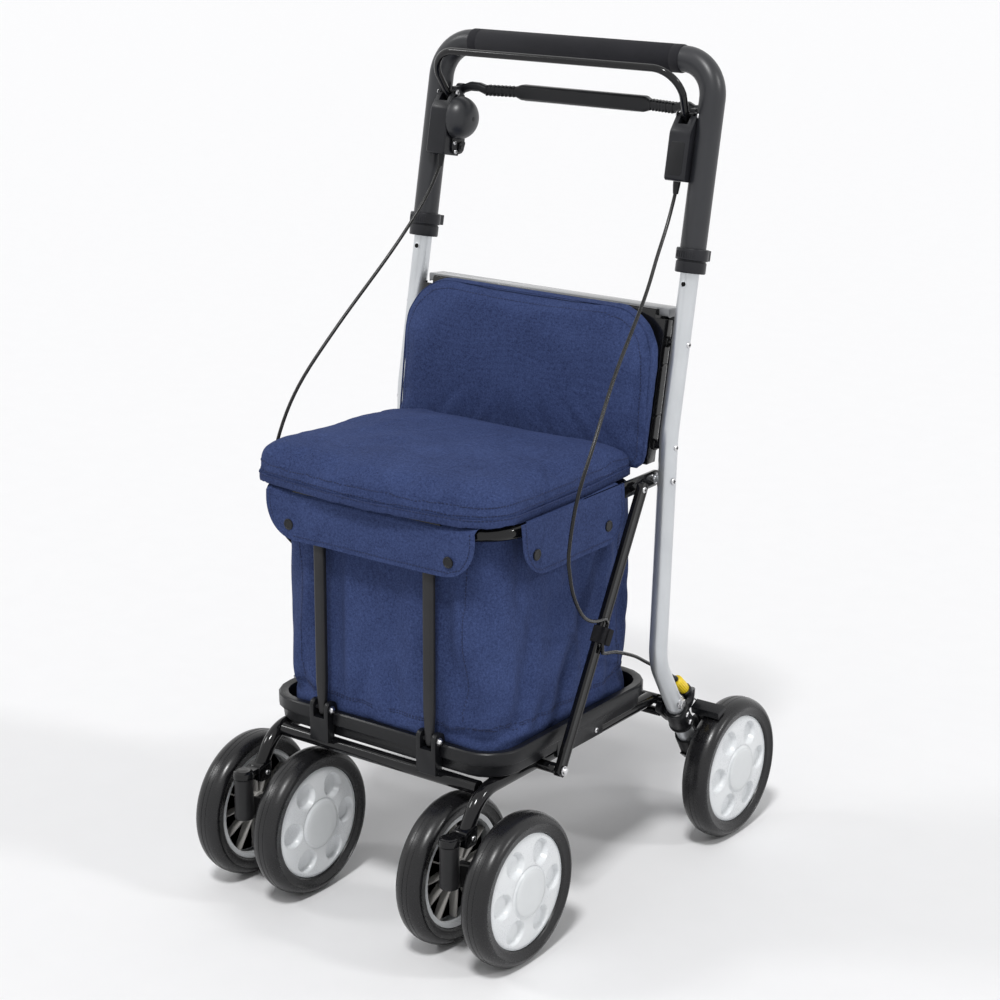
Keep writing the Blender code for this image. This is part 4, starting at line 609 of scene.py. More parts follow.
def add_uprights():
    for side, tag in SIDES:
        corners = [handle_point(side * UPRIGHT_X, 0.8), (side * UPRIGHT_X, *KNEE), (side * UPRIGHT_X, *KICK),
                   mirror(FOOT, side)]
        tube = swept(bent(corners, [0.12, 0.055], 16), circle(UPRIGHT_RADIUS - 0.0001, 40))
        pin = rod((side * 0.167, *SEAT_PIVOT), (side * 0.178, *SEAT_PIVOT), 0.004, 20)
        put(f"upright_tube_{tag}", joined(tube, pin), "silver", "rear_frame",
            replaces=[f"upright_{tag}"])
        hole = handle_point(side * UPRIGHT_X, 0.6786)
        front = hole + HANDLE_FRONT * (UPRIGHT_RADIUS - 0.0012)
        # A near-black disc just inside the tube: painted shade standing for the inside of the button hole.
        dark = lathe([(0, 0.0029), (0.0012, 0.0029), (0.0012, 0)], front, HANDLE_FRONT, 20)
        put(f"button_hole_{tag}", dark, "slot", "rear_frame")
        rim = [(0.0006, 0.0028), (0.0006, 0.0036), (0.0012, 0.0036), (0.0014, 0.0031), (0.0013, 0.0028)]
        put(f"button_hole_rim_{tag}", lathe(rim, front, HANDLE_FRONT, 24, True), "silver", "rear_frame")
        outer = side * (UPRIGHT_X + UPRIGHT_RADIUS - 0.0006)
        fasteners(f"upright_{tag}", "rear_frame", [((outer, 0.078, 0.5038), (side, 0, 0), 0.0036),
                                                   ((outer, *SEAT_PIVOT), (side, 0, 0), 0.004),
                                                   ((outer, handle_point(0, 0.615).y, 0.615), (side, 0, 0),
                                                    0.0036)])


def kick_point(side, share):
    return Vector((side * UPRIGHT_X, *KICK)).lerp(Vector(mirror(FOOT, side)), share)


def add_rear_feet():
    """Black sleeve bands, adjusters, brake wires and brake pins at the rear wheels, and the rear brace."""
    for side, tag in SIDES:
        low, high = kick_point(side, 0.51), kick_point(side, 0.7)
        way = (high - low).normalized()
        bands = [lathe([(0, 0.0143), (0.0004, 0.0147), (0.0022, 0.0147), (0.0026, 0.0143)], low + way * s,
                       way, 40) for s in (0.0005, (high - low).length - 0.0032)]
        put(f"sleeve_bands_{tag}", joined(*bands), "plastic", "rear_frame")
        out = (Vector((side, 0, 0)) - way * way.x * side).normalized()
        skin = [low.lerp(high, share) + out * 0.0136 for share in (0.28, 0.74)]
        fasteners(f"sleeve_{tag}", "rear_frame", [(p, out, 0.0034) for p in skin])
        upper = kick_point(side, 0.44)
        put(f"sleeve_bolt_{tag}", bolt_head(upper + out * (UPRIGHT_RADIUS - 0.0004), out), "zinc",
            "rear_frame", 30)
        start, end = Vector(mirror(ADJUSTER, side)), Vector(mirror(ADJUSTER_LOW, side))
        along = (end - start).normalized()
        length = (end - start).length
        rings = []
        u, v = side_axes(along)[1:]
        for s, radius, depth in ((0, 0.004, 0), (0.0012, 0.0062, 0), (0.002, 0.0069, 0.0006),
                                 (length - 0.0012, 0.0069, 0.0006), (length - 0.0002, 0.0062, 0)):
            ring = []
            for k in range(96):
                angle = 2 * pi * k / 96
                fluted = radius - depth * (0.5 + 0.5 * cos(16 * angle))
                ring.append(start + along * s + (u * cos(angle) + v * sin(angle)) * fluted)
            rings.append(ring)
        put(f"adjuster_knob_{tag}", lofted(rings), "yellow", "rear_frame",
            replaces=[f"cable_adjuster_{tag}"])
        hinge = Vector(mirror(BRAKE_PIVOT, side))
        wire = [end + along * 0.008, end + along * 0.016 + Vector((0, 0.002, 0)),
                hinge + Vector((0, 0.001, 0.012)), hinge + Vector((0, 0.003, 0.004))]
        put(f"brake_wire_{tag}", swept(bent(wire, 0.008, 6), circle(0.0009, 12)), "wire", "rear_frame")
        put(f"brake_pin_{tag}", dome_nut(hinge + Vector((side * 0.0032, 0, 0)), (side, 0, 0), 0.0034, 0.0036),
            "zinc", "rear_frame")
    brace_y, brace_z = BASE_PIVOT[0] + 0.006, BASE_PIVOT[1] - 0.018
    put("rear_brace_rod", rod((-0.1532, brace_y, brace_z), (0.1532, brace_y, brace_z), 0.005, 28, 0.0006),
        "gloss", "rear_frame", replaces=["rear_cross_brace"])


# Wheels

def hub_disc(outward):
    """The domed outer face as a polar grid: dished rounds, a raised cap and a rolled edge; +X is out."""
    turns, steps = 192, 56
    points, faces = [], []
    for i in range(steps + 1):
        r = HUB_RADIUS * (i / steps) ** 0.9
        for k in range(turns):
            angle = 2 * pi * k / turns
            y, z = r * sin(angle), r * cos(angle)
            height = 0.0165 - 0.0045 * (r / HUB_RADIUS) ** 2.2
            if r > HUB_RADIUS - 0.0035:
                height -= 0.0012 * ((r - HUB_RADIUS + 0.0035) / 0.0035) ** 2
            height += 0.0016 * eased((HUB_CAP_RADIUS - r) / 0.002)
            if HUB_CAP_RADIUS < r < 0.0296:
                height -= 0.0008 * sin(pi * (r - HUB_CAP_RADIUS) / 0.0024)
            for n in range(6):
                spot = 2 * pi * (n + 0.5) / 6
                away = hypot(y - DISH_CIRCLE * sin(spot), z - DISH_CIRCLE * cos(spot))
                if away < DISH_RADIUS:
                    bowl = 1 - 0.22 * (away / DISH_RADIUS) ** 2
                    height -= DISH_DEPTH * bowl * eased((DISH_RADIUS - away) / 0.0026)
            points.append(Vector((height * outward, y, z)))
    for i in range(steps):
        for k in range(turns):
            j = (k + 1) % turns
            faces.append((i * turns + k, i * turns + j, (i + 1) * turns + j, (i + 1) * turns + k))
    return points, faces


def moved(shape, offset):
    offset = Vector(offset)
    return [p + offset for p in shape[0]], shape[1]


def add_wheel(node_tag, body, centre, outward):
    """Tyre, hub face, hub cap and ribbed inner side of one wheel."""
    profile = []
    for k in range(25):
        angle = pi * (k / 24 - 0.5)
        a = sin(angle)
        width = 0.003 + 0.0135 * abs(a) ** 0.9
        height = AXLE_Z - 0.00025 - 0.0092 * (1 - cos(angle)) ** 0.9
        profile.append(((1 if a > 0 else -1) * width if k != 12 else 0.0, height))
    wall = [(0.016, 0.0746), (0.0155, 0.0742), (0.0146, 0.0672), (0.0138, 0.065), (0.0125, 0.0642)]
    profile = [(-a, b) for a, b in reversed(wall)] + profile + wall
    tyre = lathe(profile, centre, (1, 0, 0), 120, True)
    lines = [lathe([(s * 0.003 - 0.0003, 0.0838), (s * 0.003 - 0.0002, 0.08425),
                    (s * 0.003 + 0.0002, 0.08425), (s * 0.003 + 0.0003, 0.0838)], centre, (1, 0, 0), 120,
                   True) for s in (-1, 1)]
    put(f"tyre_{node_tag}_ring", joined(tyre, *lines), "tyre", body, 60,
        replaces=[f"tyre_{node_tag}"])
    out = Vector((outward, 0, 0))
    face = moved(hub_disc(outward), centre)
    rim = lathe([(0.0118, 0.0636), (0.009, 0.0638), (-0.0122, 0.0638), (-0.0124, 0.0618), (-0.0118, 0.0585),
                 (-0.006, 0.0578)], centre, out, 96)
    rim = (rim[0], [f for f in rim[1] if len(f) == 4])
    put(f"hub_{node_tag}_face", joined(face, rim), "hub", body, 50,
        replaces=[f"hub_{node_tag}"])
    cap = [(0.0178, 0.0262), (0.0182, 0.0258), (0.019, 0.0215), (0.0194, 0.012), (0.0195, 0)]
    put(f"hub_{node_tag}_cap", lathe(cap, centre, out, 72), "cap", body, 50)
    web = lathe([(0.005, 0.0585), (0.005, 0.013), (-0.009, 0.0128), (-0.0094, 0.0122), (-0.0094, 0.0046)],
                centre, out, 72)
    ribs = [web]
    for n in range(12):
        angle = 2 * pi * n / 12
        u = Vector((0, sin(angle), cos(angle)))
        v = out.cross(u)
        foot = Vector(centre) + u * 0.0125 - v * 0.0008 - out * 0.0075
        if u.cross(out).dot(v) <= 0:
            foot += v * 0.0016
        ribs.append(slab([(0, 0), (0.046, 0.003), (0.046, 0.012), (0, 0.012)], foot, u, out, 0.0016, 0.0002))
    put(f"hub_{node_tag}_ribs", joined(*ribs), "ribs", body, 40)


def add_wheels():
    for side, tag in SIDES:
        add_wheel(f"rear_{tag}", f"wheel_rear_{tag}", (side * 0.198, REAR_AXLE_Y, AXLE_Z), side)
        for row, offset in (("outer", side * 0.043), ("inner", -side * 0.043)):
            add_wheel(f"front_{tag}_{row}", f"wheel_front_{tag}_{row}",
                      (side * CASTER_X + offset, -REAR_AXLE_Y, AXLE_Z), 1 if offset > 0 else -1)


def add_casters():
    for side, tag in SIDES:
        body = f"caster_{tag}"
        x = side * CASTER_X
        barrel = lathe([(0.097, 0.008), (0.0974, 0.0098), (0.099, 0.011), (0.104, 0.0114), (0.108, 0.0108),
                        (0.138, 0.0104), (0.142, 0.0108), (0.1448, 0.0108), (0.1455, 0.01)],
                       (x, SWIVEL_Y, 0), (0, 0, 1), 48)
        put(f"caster_barrel_{tag}", barrel, "barrel", body)
        cap = lathe([(0.1464, 0.0112), (0.1468, 0.0118), (0.15, 0.0118), (0.1528, 0.0108), (0.1544, 0.008),
                     (0.155, 0.004), (0.1551, 0)], (x, SWIVEL_Y, 0), (0, 0, 1), 48)
        put(f"caster_cap_{tag}", cap, "gloss", "base")


# Handle and controls

def add_handle_tube():
    """One bent tube with real bores for the uprights, and the foam grip with its end seams."""
    ends = [handle_point(x, HANDLE_BOTTOM_Z) for x in (-UPRIGHT_X, UPRIGHT_X)]
    tops = [handle_point(x, HANDLE_TOP_Z) for x in (-UPRIGHT_X, UPRIGHT_X)]
    path = bent([ends[0], tops[0], tops[1], ends[1]], HANDLE_BEND, 16)
    sides = 48
    rings = [[p + u * a + v * b for a, b in circle(HANDLE_RADIUS - 0.0002, sides)]
             for p, u, v in path_frames(path, (0, 1, 0))]
    bores = []
    for end, ring in ((path[0], rings[0]), (path[-1], rings[-1])):
        mouth = [end + (p - end) * ((UPRIGHT_RADIUS + 0.0005) / HANDLE_RADIUS) for p in ring]
        climb = handle_point(end.x, 0.844) - end
        bores.append([[p + climb for p in mouth], mouth])
    put("handle_bar", lofted(bores[0] + rings + list(reversed(bores[1]))), "handle", "handle", 50,
        replaces=["handle_tube"])
    centre = handle_point(0, HANDLE_TOP_Z)
    profile = [(-GRIP_HALF, 0.013), (-GRIP_HALF, 0.0146), (-GRIP_HALF + 0.0006, 0.0152),
               (-GRIP_HALF + 0.002, 0.0155), (-GRIP_HALF + 0.011, 0.0155), (-GRIP_HALF + 0.0114, 0.0151),
               (-GRIP_HALF + 0.0122, 0.0151), (-GRIP_HALF + 0.0126, 0.0155)]
    profile += [(-s, r) for s, r in reversed(profile)]
    put("grip_foam", lathe(profile, centre, (1, 0, 0), 64, True), "foam", "handle", 60,
        replaces=["grip_sleeve"])


def add_collars():
    for side, tag in SIDES:
        foot = handle_point(side * UPRIGHT_X, 0.6908)
        profile = [(0.0, 0.0112), (0.0, 0.0156), (0.0004, 0.0164), (0.0012, 0.0168), (0.011, 0.0168),
                   (0.0122, 0.0166), (0.0126, 0.0156), (0.0136, 0.0156), (0.0139, 0.0172), (0.0146, 0.0179),
                   (0.0252, 0.018), (0.0263, 0.0176), (0.0268, 0.0166), (0.0268, 0.0149), (0.0184, 0.0149),
                   (0.0184, 0.0112)]
        ribs = []
        for k in range(9):
            spread = (k - 4) * 0.17
            out = HANDLE_FRONT * cos(spread) + Vector((1, 0, 0)) * sin(spread)
            across = HANDLE_AXIS.cross(out)
            ribs.append(slab(oblong(-0.0004, 0.0004, 0, 0.0066), foot + HANDLE_AXIS * 0.0165 + out * 0.0176,
                             across, HANDLE_AXIS, 0.0008, 0.0001))
        outline = rounded(oblong(-0.009, 0.009, 0.015, 0.0262), [0.0001, 0.0001, 0.0034, 0.0034], 6)
        knob = slab(outline, foot + HANDLE_AXIS * 0.0142, (1, 0, 0), -HANDLE_FRONT, 0.0118, 0.0009)
        grips = []
        for k in range(5):
            middle = -0.0068 + k * 0.0034
            grips.append(slab(rounded(oblong(middle - 0.0006, middle + 0.0006, 0, 0.009), 0.0004, 2),
                              foot + HANDLE_AXIS * 0.0156 - HANDLE_FRONT * 0.0257, (1, 0, 0), HANDLE_AXIS,
                              0.001, 0.0003))
        put(f"collar_clamp_{tag}", joined(lathe(profile, foot, HANDLE_AXIS, 56, True), knob, *ribs, *grips),
            "charcoal", "handle", 40, replaces=[f"collar_{tag}"])


def add_brake_controls():
    for side, tag in SIDES:
        hinge = Vector(mirror(LOOP_PIVOT, side))
        heads = [(hinge + Vector((s * 0.0145 if s == side else s * 0.0117, 0, 0)), (s, 0, 0), 0.0033)
                 for s in (-1, 1)]
        fasteners(f"housing_{tag}", "handle", heads)
        foot = handle_point(side * 0.163, CABLE_FOOT_Z, 0.013)
        sleeve = lathe([(0, 0.0042), (0.004, 0.004), (0.012, 0.0031), (0.0135, 0.0028), (0.0135, 0.0023)],
                       handle_point(side * 0.161, CABLE_FOOT_Z, 0.013) - HANDLE_AXIS * 0.0002,
                       -HANDLE_AXIS, 24)
        put(f"cable_boot_{tag}", sleeve, "plastic", "handle", 40)
        panel = rounded(oblong(-0.0088, 0.0088, 0.006, 0.042), 0.003, 5)
        face = slab(panel, foot + HANDLE_FRONT * 0.011, (side, 0, 0), HANDLE_AXIS, 0.0008, 0.0003)
        put(f"housing_panel_{tag}", face, "plastic", "handle", 40)
    half = [Vector(LOOP_PIVOT) - HANDLE_AXIS * 0.0045, Vector(LOOP_KNEE), Vector(LOOP_TOP)]
    other = [Vector((-p.x, p.y, p.z)) for p in reversed(half)]
    loop = swept(bent(half + other, [0.02, 0.032, 0.032, 0.02], 14), circle(LOOP_RADIUS - 0.0001, 28))
    pins = [rod((side * 0.1532, *LOOP_PIVOT[1:]), (side * 0.17, *LOOP_PIVOT[1:]), 0.002, 16)
            for side, tag in SIDES]
    put("brake_loop_rod", joined(loop, *pins), "gloss", "brake_loop", 50,
        replaces=["brake_loop"])
    neck, bar = Vector((0.129, 0.1655, 0.859)), Vector((0.086, 0.1745, 0.859))
    rungs = []
    for side, tag in SIDES:
        for k in range(9):
            place = neck.lerp(bar, (k + 0.5) / 9)
            place.x *= side
            rungs.append(block(place - Vector((0.0007, 0.0056, 0.006)),
                               place + Vector((0.0007, 0.0056, 0.006)), 0.0005))
    put("parking_bar_rungs", joined(*rungs), "plastic", "parking_bar", 40)
    strip = block((-0.078, 0.1702, 0.8499), (0.078, 0.1788, 0.8506), 0.0003)
    put("parking_bar_strip", strip, "zinc", "parking_bar", 40)


def add_bell():
    """Satin dome with a small hole, and the two screws of its bracket."""
    face, y, z = -0.1477, 0.136, 0.829
    outer, inner = [], []
    for k in range(17):
        angle = pi / 2 * k / 16
        outer.append((0.0004 + 0.0213 * sin(angle), 0.0249 * cos(angle) ** 0.85))
        inner.append((0.0004 + 0.02 * sin(angle), 0.0237 * cos(angle) ** 0.85))
    dome = lathe(list(reversed(inner)) + outer, (face, y, z), (1, 0, 0), 72)
    put("bell_dome_shell", dome, "handle", "handle", 60)
    # A near-black disc in the dome: painted shade standing for the inside of its small hole.
    hole = lathe([(0, 0.0013), (0.0004, 0.0013), (0.0004, 0)], (face + 0.016, y - 0.014, z - 0.0035),
                 (0.75, -0.62, -0.15), 16)
    put("bell_dome_hole", hole, "slot", "handle")
    fasteners("bell", "handle", [((face + 0.0001, 0.129, 0.7905), (1, 0, 0), 0.0026),
                                 ((face + 0.0001, 0.1275, 0.801), (1, 0, 0), 0.0026)])


# Base

def add_base():
    for side, tag in SIDES:
        x = side * CASTER_X
        tube = swept(bent([(x, BASE_PIVOT[0] - 0.0065, BASE_PIVOT[1]), (x, -0.2123, BASE_PIVOT[1]),
                           (x, -0.243, 0.1416)], 0.045, 16), circle(0.0081, 32))
        put(f"leg_bar_{tag}", tube, "gloss", "base", 50)
        block_screws = [((x + side * 0.009, -0.236, 0.1445), (side, 0, 0), 0.003),
                        ((x - side * 0.009, -0.236, 0.1445), (-side, 0, 0), 0.003)]
        fasteners(f"leg_{tag}", "base", block_screws)
        for end in (-1, 1):
            ear = Vector((side * POST_X + end * 0.0127, *POST_PIVOT))
            name = "outer" if end == side else "inner"
            put(f"clip_bolt_{tag}_{name}", dome_nut(ear, (end, 0, 0), 0.0036, 0.004), "zinc", "base")
        put(f"strut_nut_{tag}", dome_nut((side * 0.1839, *STRUT_FOOT), (side, 0, 0), 0.0042, 0.0044),
            "zinc", "base")
        tab = [((side * 0.1605, -0.082, 0.1965), (side, 0, 0), 0.0032),
               ((side * 0.1605, -0.021, 0.1965), (side, 0, 0), 0.0032)]
        fasteners(f"tray_{tag}", "base", tab)
    bar = rod((-0.1357, -0.204, 0.186), (0.1357, -0.204, 0.186), 0.0079, 32)
    put("crossbar_rod", bar, "gloss", "base", replaces=["front_crossbar"])
    half, end = 0.1532, 0.1615
    tube = lathe([(-end, 0.004), (-half, 0.004), (-half, 0.006), (half, 0.006), (half, 0.004), (end, 0.004)],
                 (0, *BASE_PIVOT), (1, 0, 0), 32)
    put("pivot_tube_rod", tube, "gloss", "base", replaces=["rear_pivot_tube"])


def add_posts_and_struts():
    for side, tag in SIDES:
        x = side * POST_X
        bottom, top = Vector((x, *POST_PIVOT)), Vector((x, *SEAT_FRONT))
        way = (top - bottom).normalized()
        length = (top - bottom).length
        sections, path = [], []
        for s, wide, deep in ((-0.007, 0.005, 0.0048), (-0.005, 0.0082, 0.006), (0.0, 0.0104, 0.0066),
                              (0.014, 0.0116, 0.0074), (0.03, 0.0136, 0.0088), (0.036, 0.0138, 0.0089),
                              (length - 0.0125, 0.0138, 0.0089), (length - 0.0117, 0.0128, 0.008)):
            path.append(bottom + way * s)
            sections.append(rounded(oblong(-wide / 2, wide / 2, -deep / 2, deep / 2), deep * 0.42, 6))
        put(f"post_bar_{tag}", swept(path, sections), "matt", "front_posts", 45,
            replaces=[f"front_post_{tag}"])
        x = side * STRUT_X
        foot, top = Vector((x, *STRUT_FOOT)), Vector((x, *STRUT_TOP))
        way = (top - foot).normalized()
        outline = [(0.0074, -0.002), (0.0074, 0.002), (0.006, 0.0039), (0.0036, 0.0039), (0.003, 0.0031),
                   (-0.003, 0.0031), (-0.0036, 0.0039), (-0.006, 0.0039), (-0.0074, 0.002), (-0.0074, -0.002),
                   (-0.006, -0.0039), (-0.0036, -0.0039), (-0.003, -0.0031), (0.003, -0.0031),
                   (0.0036, -0.0039), (0.006, -0.0039)]
        outline = rounded(outline, 0.0005, 3)
        path, sections = [], []
        length = (top - foot).length
        for s, share in ((-0.0074, 0.55), (-0.0062, 0.8), (-0.003, 0.97), (0.0, 1.0), (0.02, 1.0),
                         (length - 0.02, 1.0), (length, 1.0), (length + 0.003, 0.97),
                         (length + 0.0062, 0.8), (length + 0.0074, 0.55)):
            path.append(foot + way * s)
            sections.append([(a * share, b) for a, b in outline])
        put(f"strut_bar_{tag}", swept(path, sections, (0, 1, 0)), "gloss", f"strut_{tag}", 45,
            replaces=[f"strut_{tag}"])
        fasteners(f"strut_top_{tag}", f"strut_{tag}",
                  [(top + Vector((side * 0.0033, 0, 0)), (side, 0, 0), 0.0036)])
        middle = foot.lerp(top, STRAP_SHARE)
        lap = slab(rounded(oblong(-0.0088, 0.0088, -0.0045, 0.0045), 0.001, 3),
                   middle + Vector((side * 0.0126, 0, 0)), way, way.cross(Vector((side, 0, 0))) * -1,
                   0.0012, 0.0004)
        put(f"strap_lap_{tag}", lap, "webbing", f"strut_{tag}")


# Cloth and padding

def settled(obj, frames, growth, held, cap, pressure=0.0, gravity=0.0, stiffness=15.0):
    """Runs Blender's cloth on the piece and keeps the result, with no point moved further than cap."""
    scene = bpy.context.scene
    before = [v.co.copy() for v in obj.data.vertices]
    cloth = obj.modifiers.new("Cloth", "CLOTH")
    settings = cloth.settings
    settings.quality = 6
    settings.mass = 0.3
    settings.air_damping = 2.0
    settings.tension_stiffness = settings.compression_stiffness = stiffness
    settings.bending_stiffness = 0.6
    settings.shrink_min = -growth
    settings.use_pressure = pressure > 0
    settings.uniform_pressure_force = pressure
    settings.effector_weights.gravity = gravity
    obj.vertex_groups.new(name="held").add(held, 1.0, "REPLACE")
    settings.vertex_group_mass = "held"
    cloth.point_cache.frame_start = 1
    cloth.point_cache.frame_end = frames
    for k in range(1, frames + 1):
        scene.frame_set(k)
    after = [v.co.copy() for v in obj.evaluated_get(bpy.context.evaluated_depsgraph_get()).data.vertices]
    obj.modifiers.remove(cloth)
    obj.vertex_groups.clear()
    scene.frame_set(1)
    for vertex, a, b in zip(obj.data.vertices, before, after):
        move = b - a
        if move.length > cap:
            move *= cap / move.length
        vertex.co = a + move


def remeshed(name, shape, voxel):
    """The closed shape as an even mesh of small quads."""
    obj = added(name, mesh_of(name, shape))
    remesh = obj.modifiers.new("Remesh", "REMESH")
    remesh.mode = "VOXEL"
    remesh.voxel_size = voxel
    made = bpy.data.meshes.new_from_object(obj.evaluated_get(bpy.context.evaluated_depsgraph_get()))
    obj.modifiers.clear()
    obj.data = made
    return obj


def smoothed(work, low=-1.0, high=1.0):
    """Evens the points between two heights."""
    bmesh.ops.smooth_vert(work, verts=[v for v in work.verts if low < v.co.z < high], factor=0.5,
                          use_axis_x=True, use_axis_y=True, use_axis_z=True)


def finished_pad(obj, body, node, passes):
    for _ in range(passes):
        reworked(obj.data, smoothed)
    obj.data.materials.clear()
    obj.data.materials.append(MATERIALS["navy"])
    obj.data.shade_smooth()
    subdivided(obj)
    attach(obj, body)
    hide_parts(node)


def surface_of(obj):
    bpy.context.view_layer.update()
    held = obj.evaluated_get(bpy.context.evaluated_depsgraph_get())
    mesh = held.to_mesh()
    matrix = obj.matrix_world
    tree = BVHTree.FromPolygons([matrix @ v.co for v in mesh.vertices],
                                [tuple(p.vertices) for p in mesh.polygons])
    held.to_mesh_clear()
    return tree


def along(path, step):
    """Points a step apart on a path, each with the way on."""
    path = [Vector(p) for p in path]
    made, left = [], step / 2
    for a, b in zip(path, path[1:]):
        length = (b - a).length
        while left <= length and length > 0:
            made.append((a.lerp(b, left / length), (b - a).normalized()))
            left += step
        left -= length
    return made


def stitches(name, paths, body, surface, lift=0.00015):
    """Rows of thread dashes laid along paths on a surface."""
    step, length, width = 0.004, 0.0028, 0.00055
    arch = [(-width, 0), (-width * 0.6, width * 0.8), (width * 0.6, width * 0.8), (width, 0)]
    shapes = []
    for path in paths:
        for place, way in along(path, step):
            found, out = surface.find_nearest(place)[:2]
            if found is None:
                continue
            if (place - found).dot(out) < 0 and (place - found).length > 0.004:
                out = -out
            way = (way - out * way.dot(out)).normalized()
            across = out.cross(way)
            rings = []
            for s, share in ((-0.5, 0.3), (-0.3, 1.0), (0.3, 1.0), (0.5, 0.3)):
                rings.append([found + way * s * length + across * a + out * (b * share + lift * share)
                              for a, b in arch])
            shapes.append(lofted(rings))
    return put(name, joined(*shapes), "thread", body, 60)


def snap(place, normal):
    """A press stud: rolled rim, dished middle."""
    return lathe([(0, 0.0058), (0.0006, 0.0062), (0.0014, 0.0062), (0.0019, 0.0056), (0.0019, 0.005),
                  (0.0015, 0.0046), (0.0014, 0.003), (0.0016, 0)], place, normal, 36)


def seat_outline(inset, steps=12, depth=0.05):
    half, rear = 0.164 - inset, depth - inset
    narrow = half - 0.0065
    corners = [(narrow, rear), (-narrow, rear), (-half, -0.05), (-half - 0.001, -0.214 + inset),
               (0, -0.232 + inset), (half, -0.214 + inset), (half, -0.05)]
    rounds = [0.014, 0.014, 0.3, max(0.028 - inset, 0.01), 0.5, max(0.05 - inset, 0.02), 0.3]
    return rounded(corners, rounds, steps)


def ring_at(outline, z):
    return [Vector((a, b, z)) for a, b in outline]


def fold_away(piece):
    """Gives the piece a mesh of its own."""
    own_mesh(piece)


def add_seat():
    """Padded seat: simulated cover, hem strip, rows of stitching, board and hinge wire."""
    levels = [(0.003, SEAT_UNDER_Z), (0.0008, 0.479), (0.0002, 0.485), (0.0004, 0.499), (0.0014, 0.5046),
              (0.0044, 0.5082), (0.012, 0.5106), (0.033, 0.5132), (0.07, 0.5146)]
    rings = []
    for inset, z in levels:
        ring = ring_at(seat_outline(inset), z)
        for place in ring:
            share = clamped((place.y + 0.12) / 0.17)
            place.z -= 0.011 * share * share * (z - SEAT_UNDER_Z) / 0.0381
        rings.append(ring)
    pad = remeshed("seat_pad", lofted(rings), 0.0042)
    base = [v.index for v in pad.data.vertices if v.co.z < 0.48]
    settled(pad, 22, pressure=2.6, growth=0.014, held=base, cap=0.0055)
    for vertex in pad.data.vertices:
        x, y, z = vertex.co
        top = clamped((z - 0.49) / 0.012)
        crease = rough(x * 9, y * 26, 1.3) * 0.6 + rough(x * 31, y * 17, 4.1) * 0.4
        vertex.co.z += 0.003 * crease * top
        if z < 0.503:
            wall = sin(pi * clamped((z - 0.482) / 0.02))
            pull = rough(x * 34, y * 34, z * 18)
            out = Vector((x, y + 0.09, 0)).normalized()
            vertex.co += out * (0.0016 * pull * wall)
    finished_pad(pad, "seat_lid", "seat_cushion", passes=1)
    fold_away(pad)
    outline = seat_outline(0.0002, 14)
    hem = []
    for k, (a, b) in enumerate(outline + outline[:1]):
        wave = 0.0005 * sin(k * 0.9) + 0.0004 * sin(k * 2.3)
        hem.append(Vector((a, b, 0.4803 + wave)))
    section = [(-0.0003, -0.0043), (0.0008, -0.0046), (0.0014, -0.0038), (0.0014, 0.0036), (0.0008, 0.0044),
               (-0.0003, 0.0043)]
    rings = []
    for k in range(len(hem) - 1):
        way = (hem[(k + 1) % (len(hem) - 1)] - hem[k - 1 if k else len(hem) - 2]).normalized()
        out = way.cross(Vector((0, 0, 1)))
        centre = Vector((0, -0.09, hem[k].z))
        out = out if out.dot(hem[k] - centre) > 0 else -out
        rings.append([hem[k] + out * a + Vector((0, 0, b)) for a, b in section])
    strip = put("seat_hem", lofted(rings, closed=True), "binding", "seat_lid", 60)
    fold_away(strip)
    loop = [Vector((p.x * 1.01, p.y * 1.01 + 0.001, 0.4838)) for p in hem]
    fold_away(stitches("seat_hem_stitches", [loop], "seat_lid", surface_of(strip)))
    cover = surface_of(pad)
    rows = [[Vector((p.x * 1.03, p.y * 1.03 + 0.003, z)) for p in hem] for z in (0.488, 0.4975)]
    fold_away(stitches("seat_cover_stitches", rows, "seat_lid", cover))
    board = lofted([ring_at(seat_outline(inset, depth=0.024), z) for inset, z in
                    ((0.0125, 0.4744), (0.012, 0.4748), (0.012, 0.4796), (0.0125, 0.48))])
    put("seat_board_panel", board, "board", "seat_lid", 40, replaces=["seat_board"])
    put("seat_hinge_wire", rod((-0.1, *SEAT_HINGE), (0.1, *SEAT_HINGE), 0.00115, 12), "gloss",
        "front_posts", replaces=["seat_hinge"])


def back_place(x, z, depth):
    """A point of the backrest, depth in front of its middle: it thins to its lower end, behind the seat."""
    skirt = clamped((0.575 - z) / 0.09)
    depth *= 1 - 0.9 * skirt if depth > 0 else 1.0
    return Vector((x, handle_point(0, z).y - 0.0245 - depth, z))


def back_outline(inset, steps=12):
    half, low, high = 0.1725 - inset, 0.479 + inset, 0.657 - inset
    top = max(0.064 - inset, 0.016)
    return rounded(oblong(-half, half, low, high), [0.012, 0.012, top, top], steps)


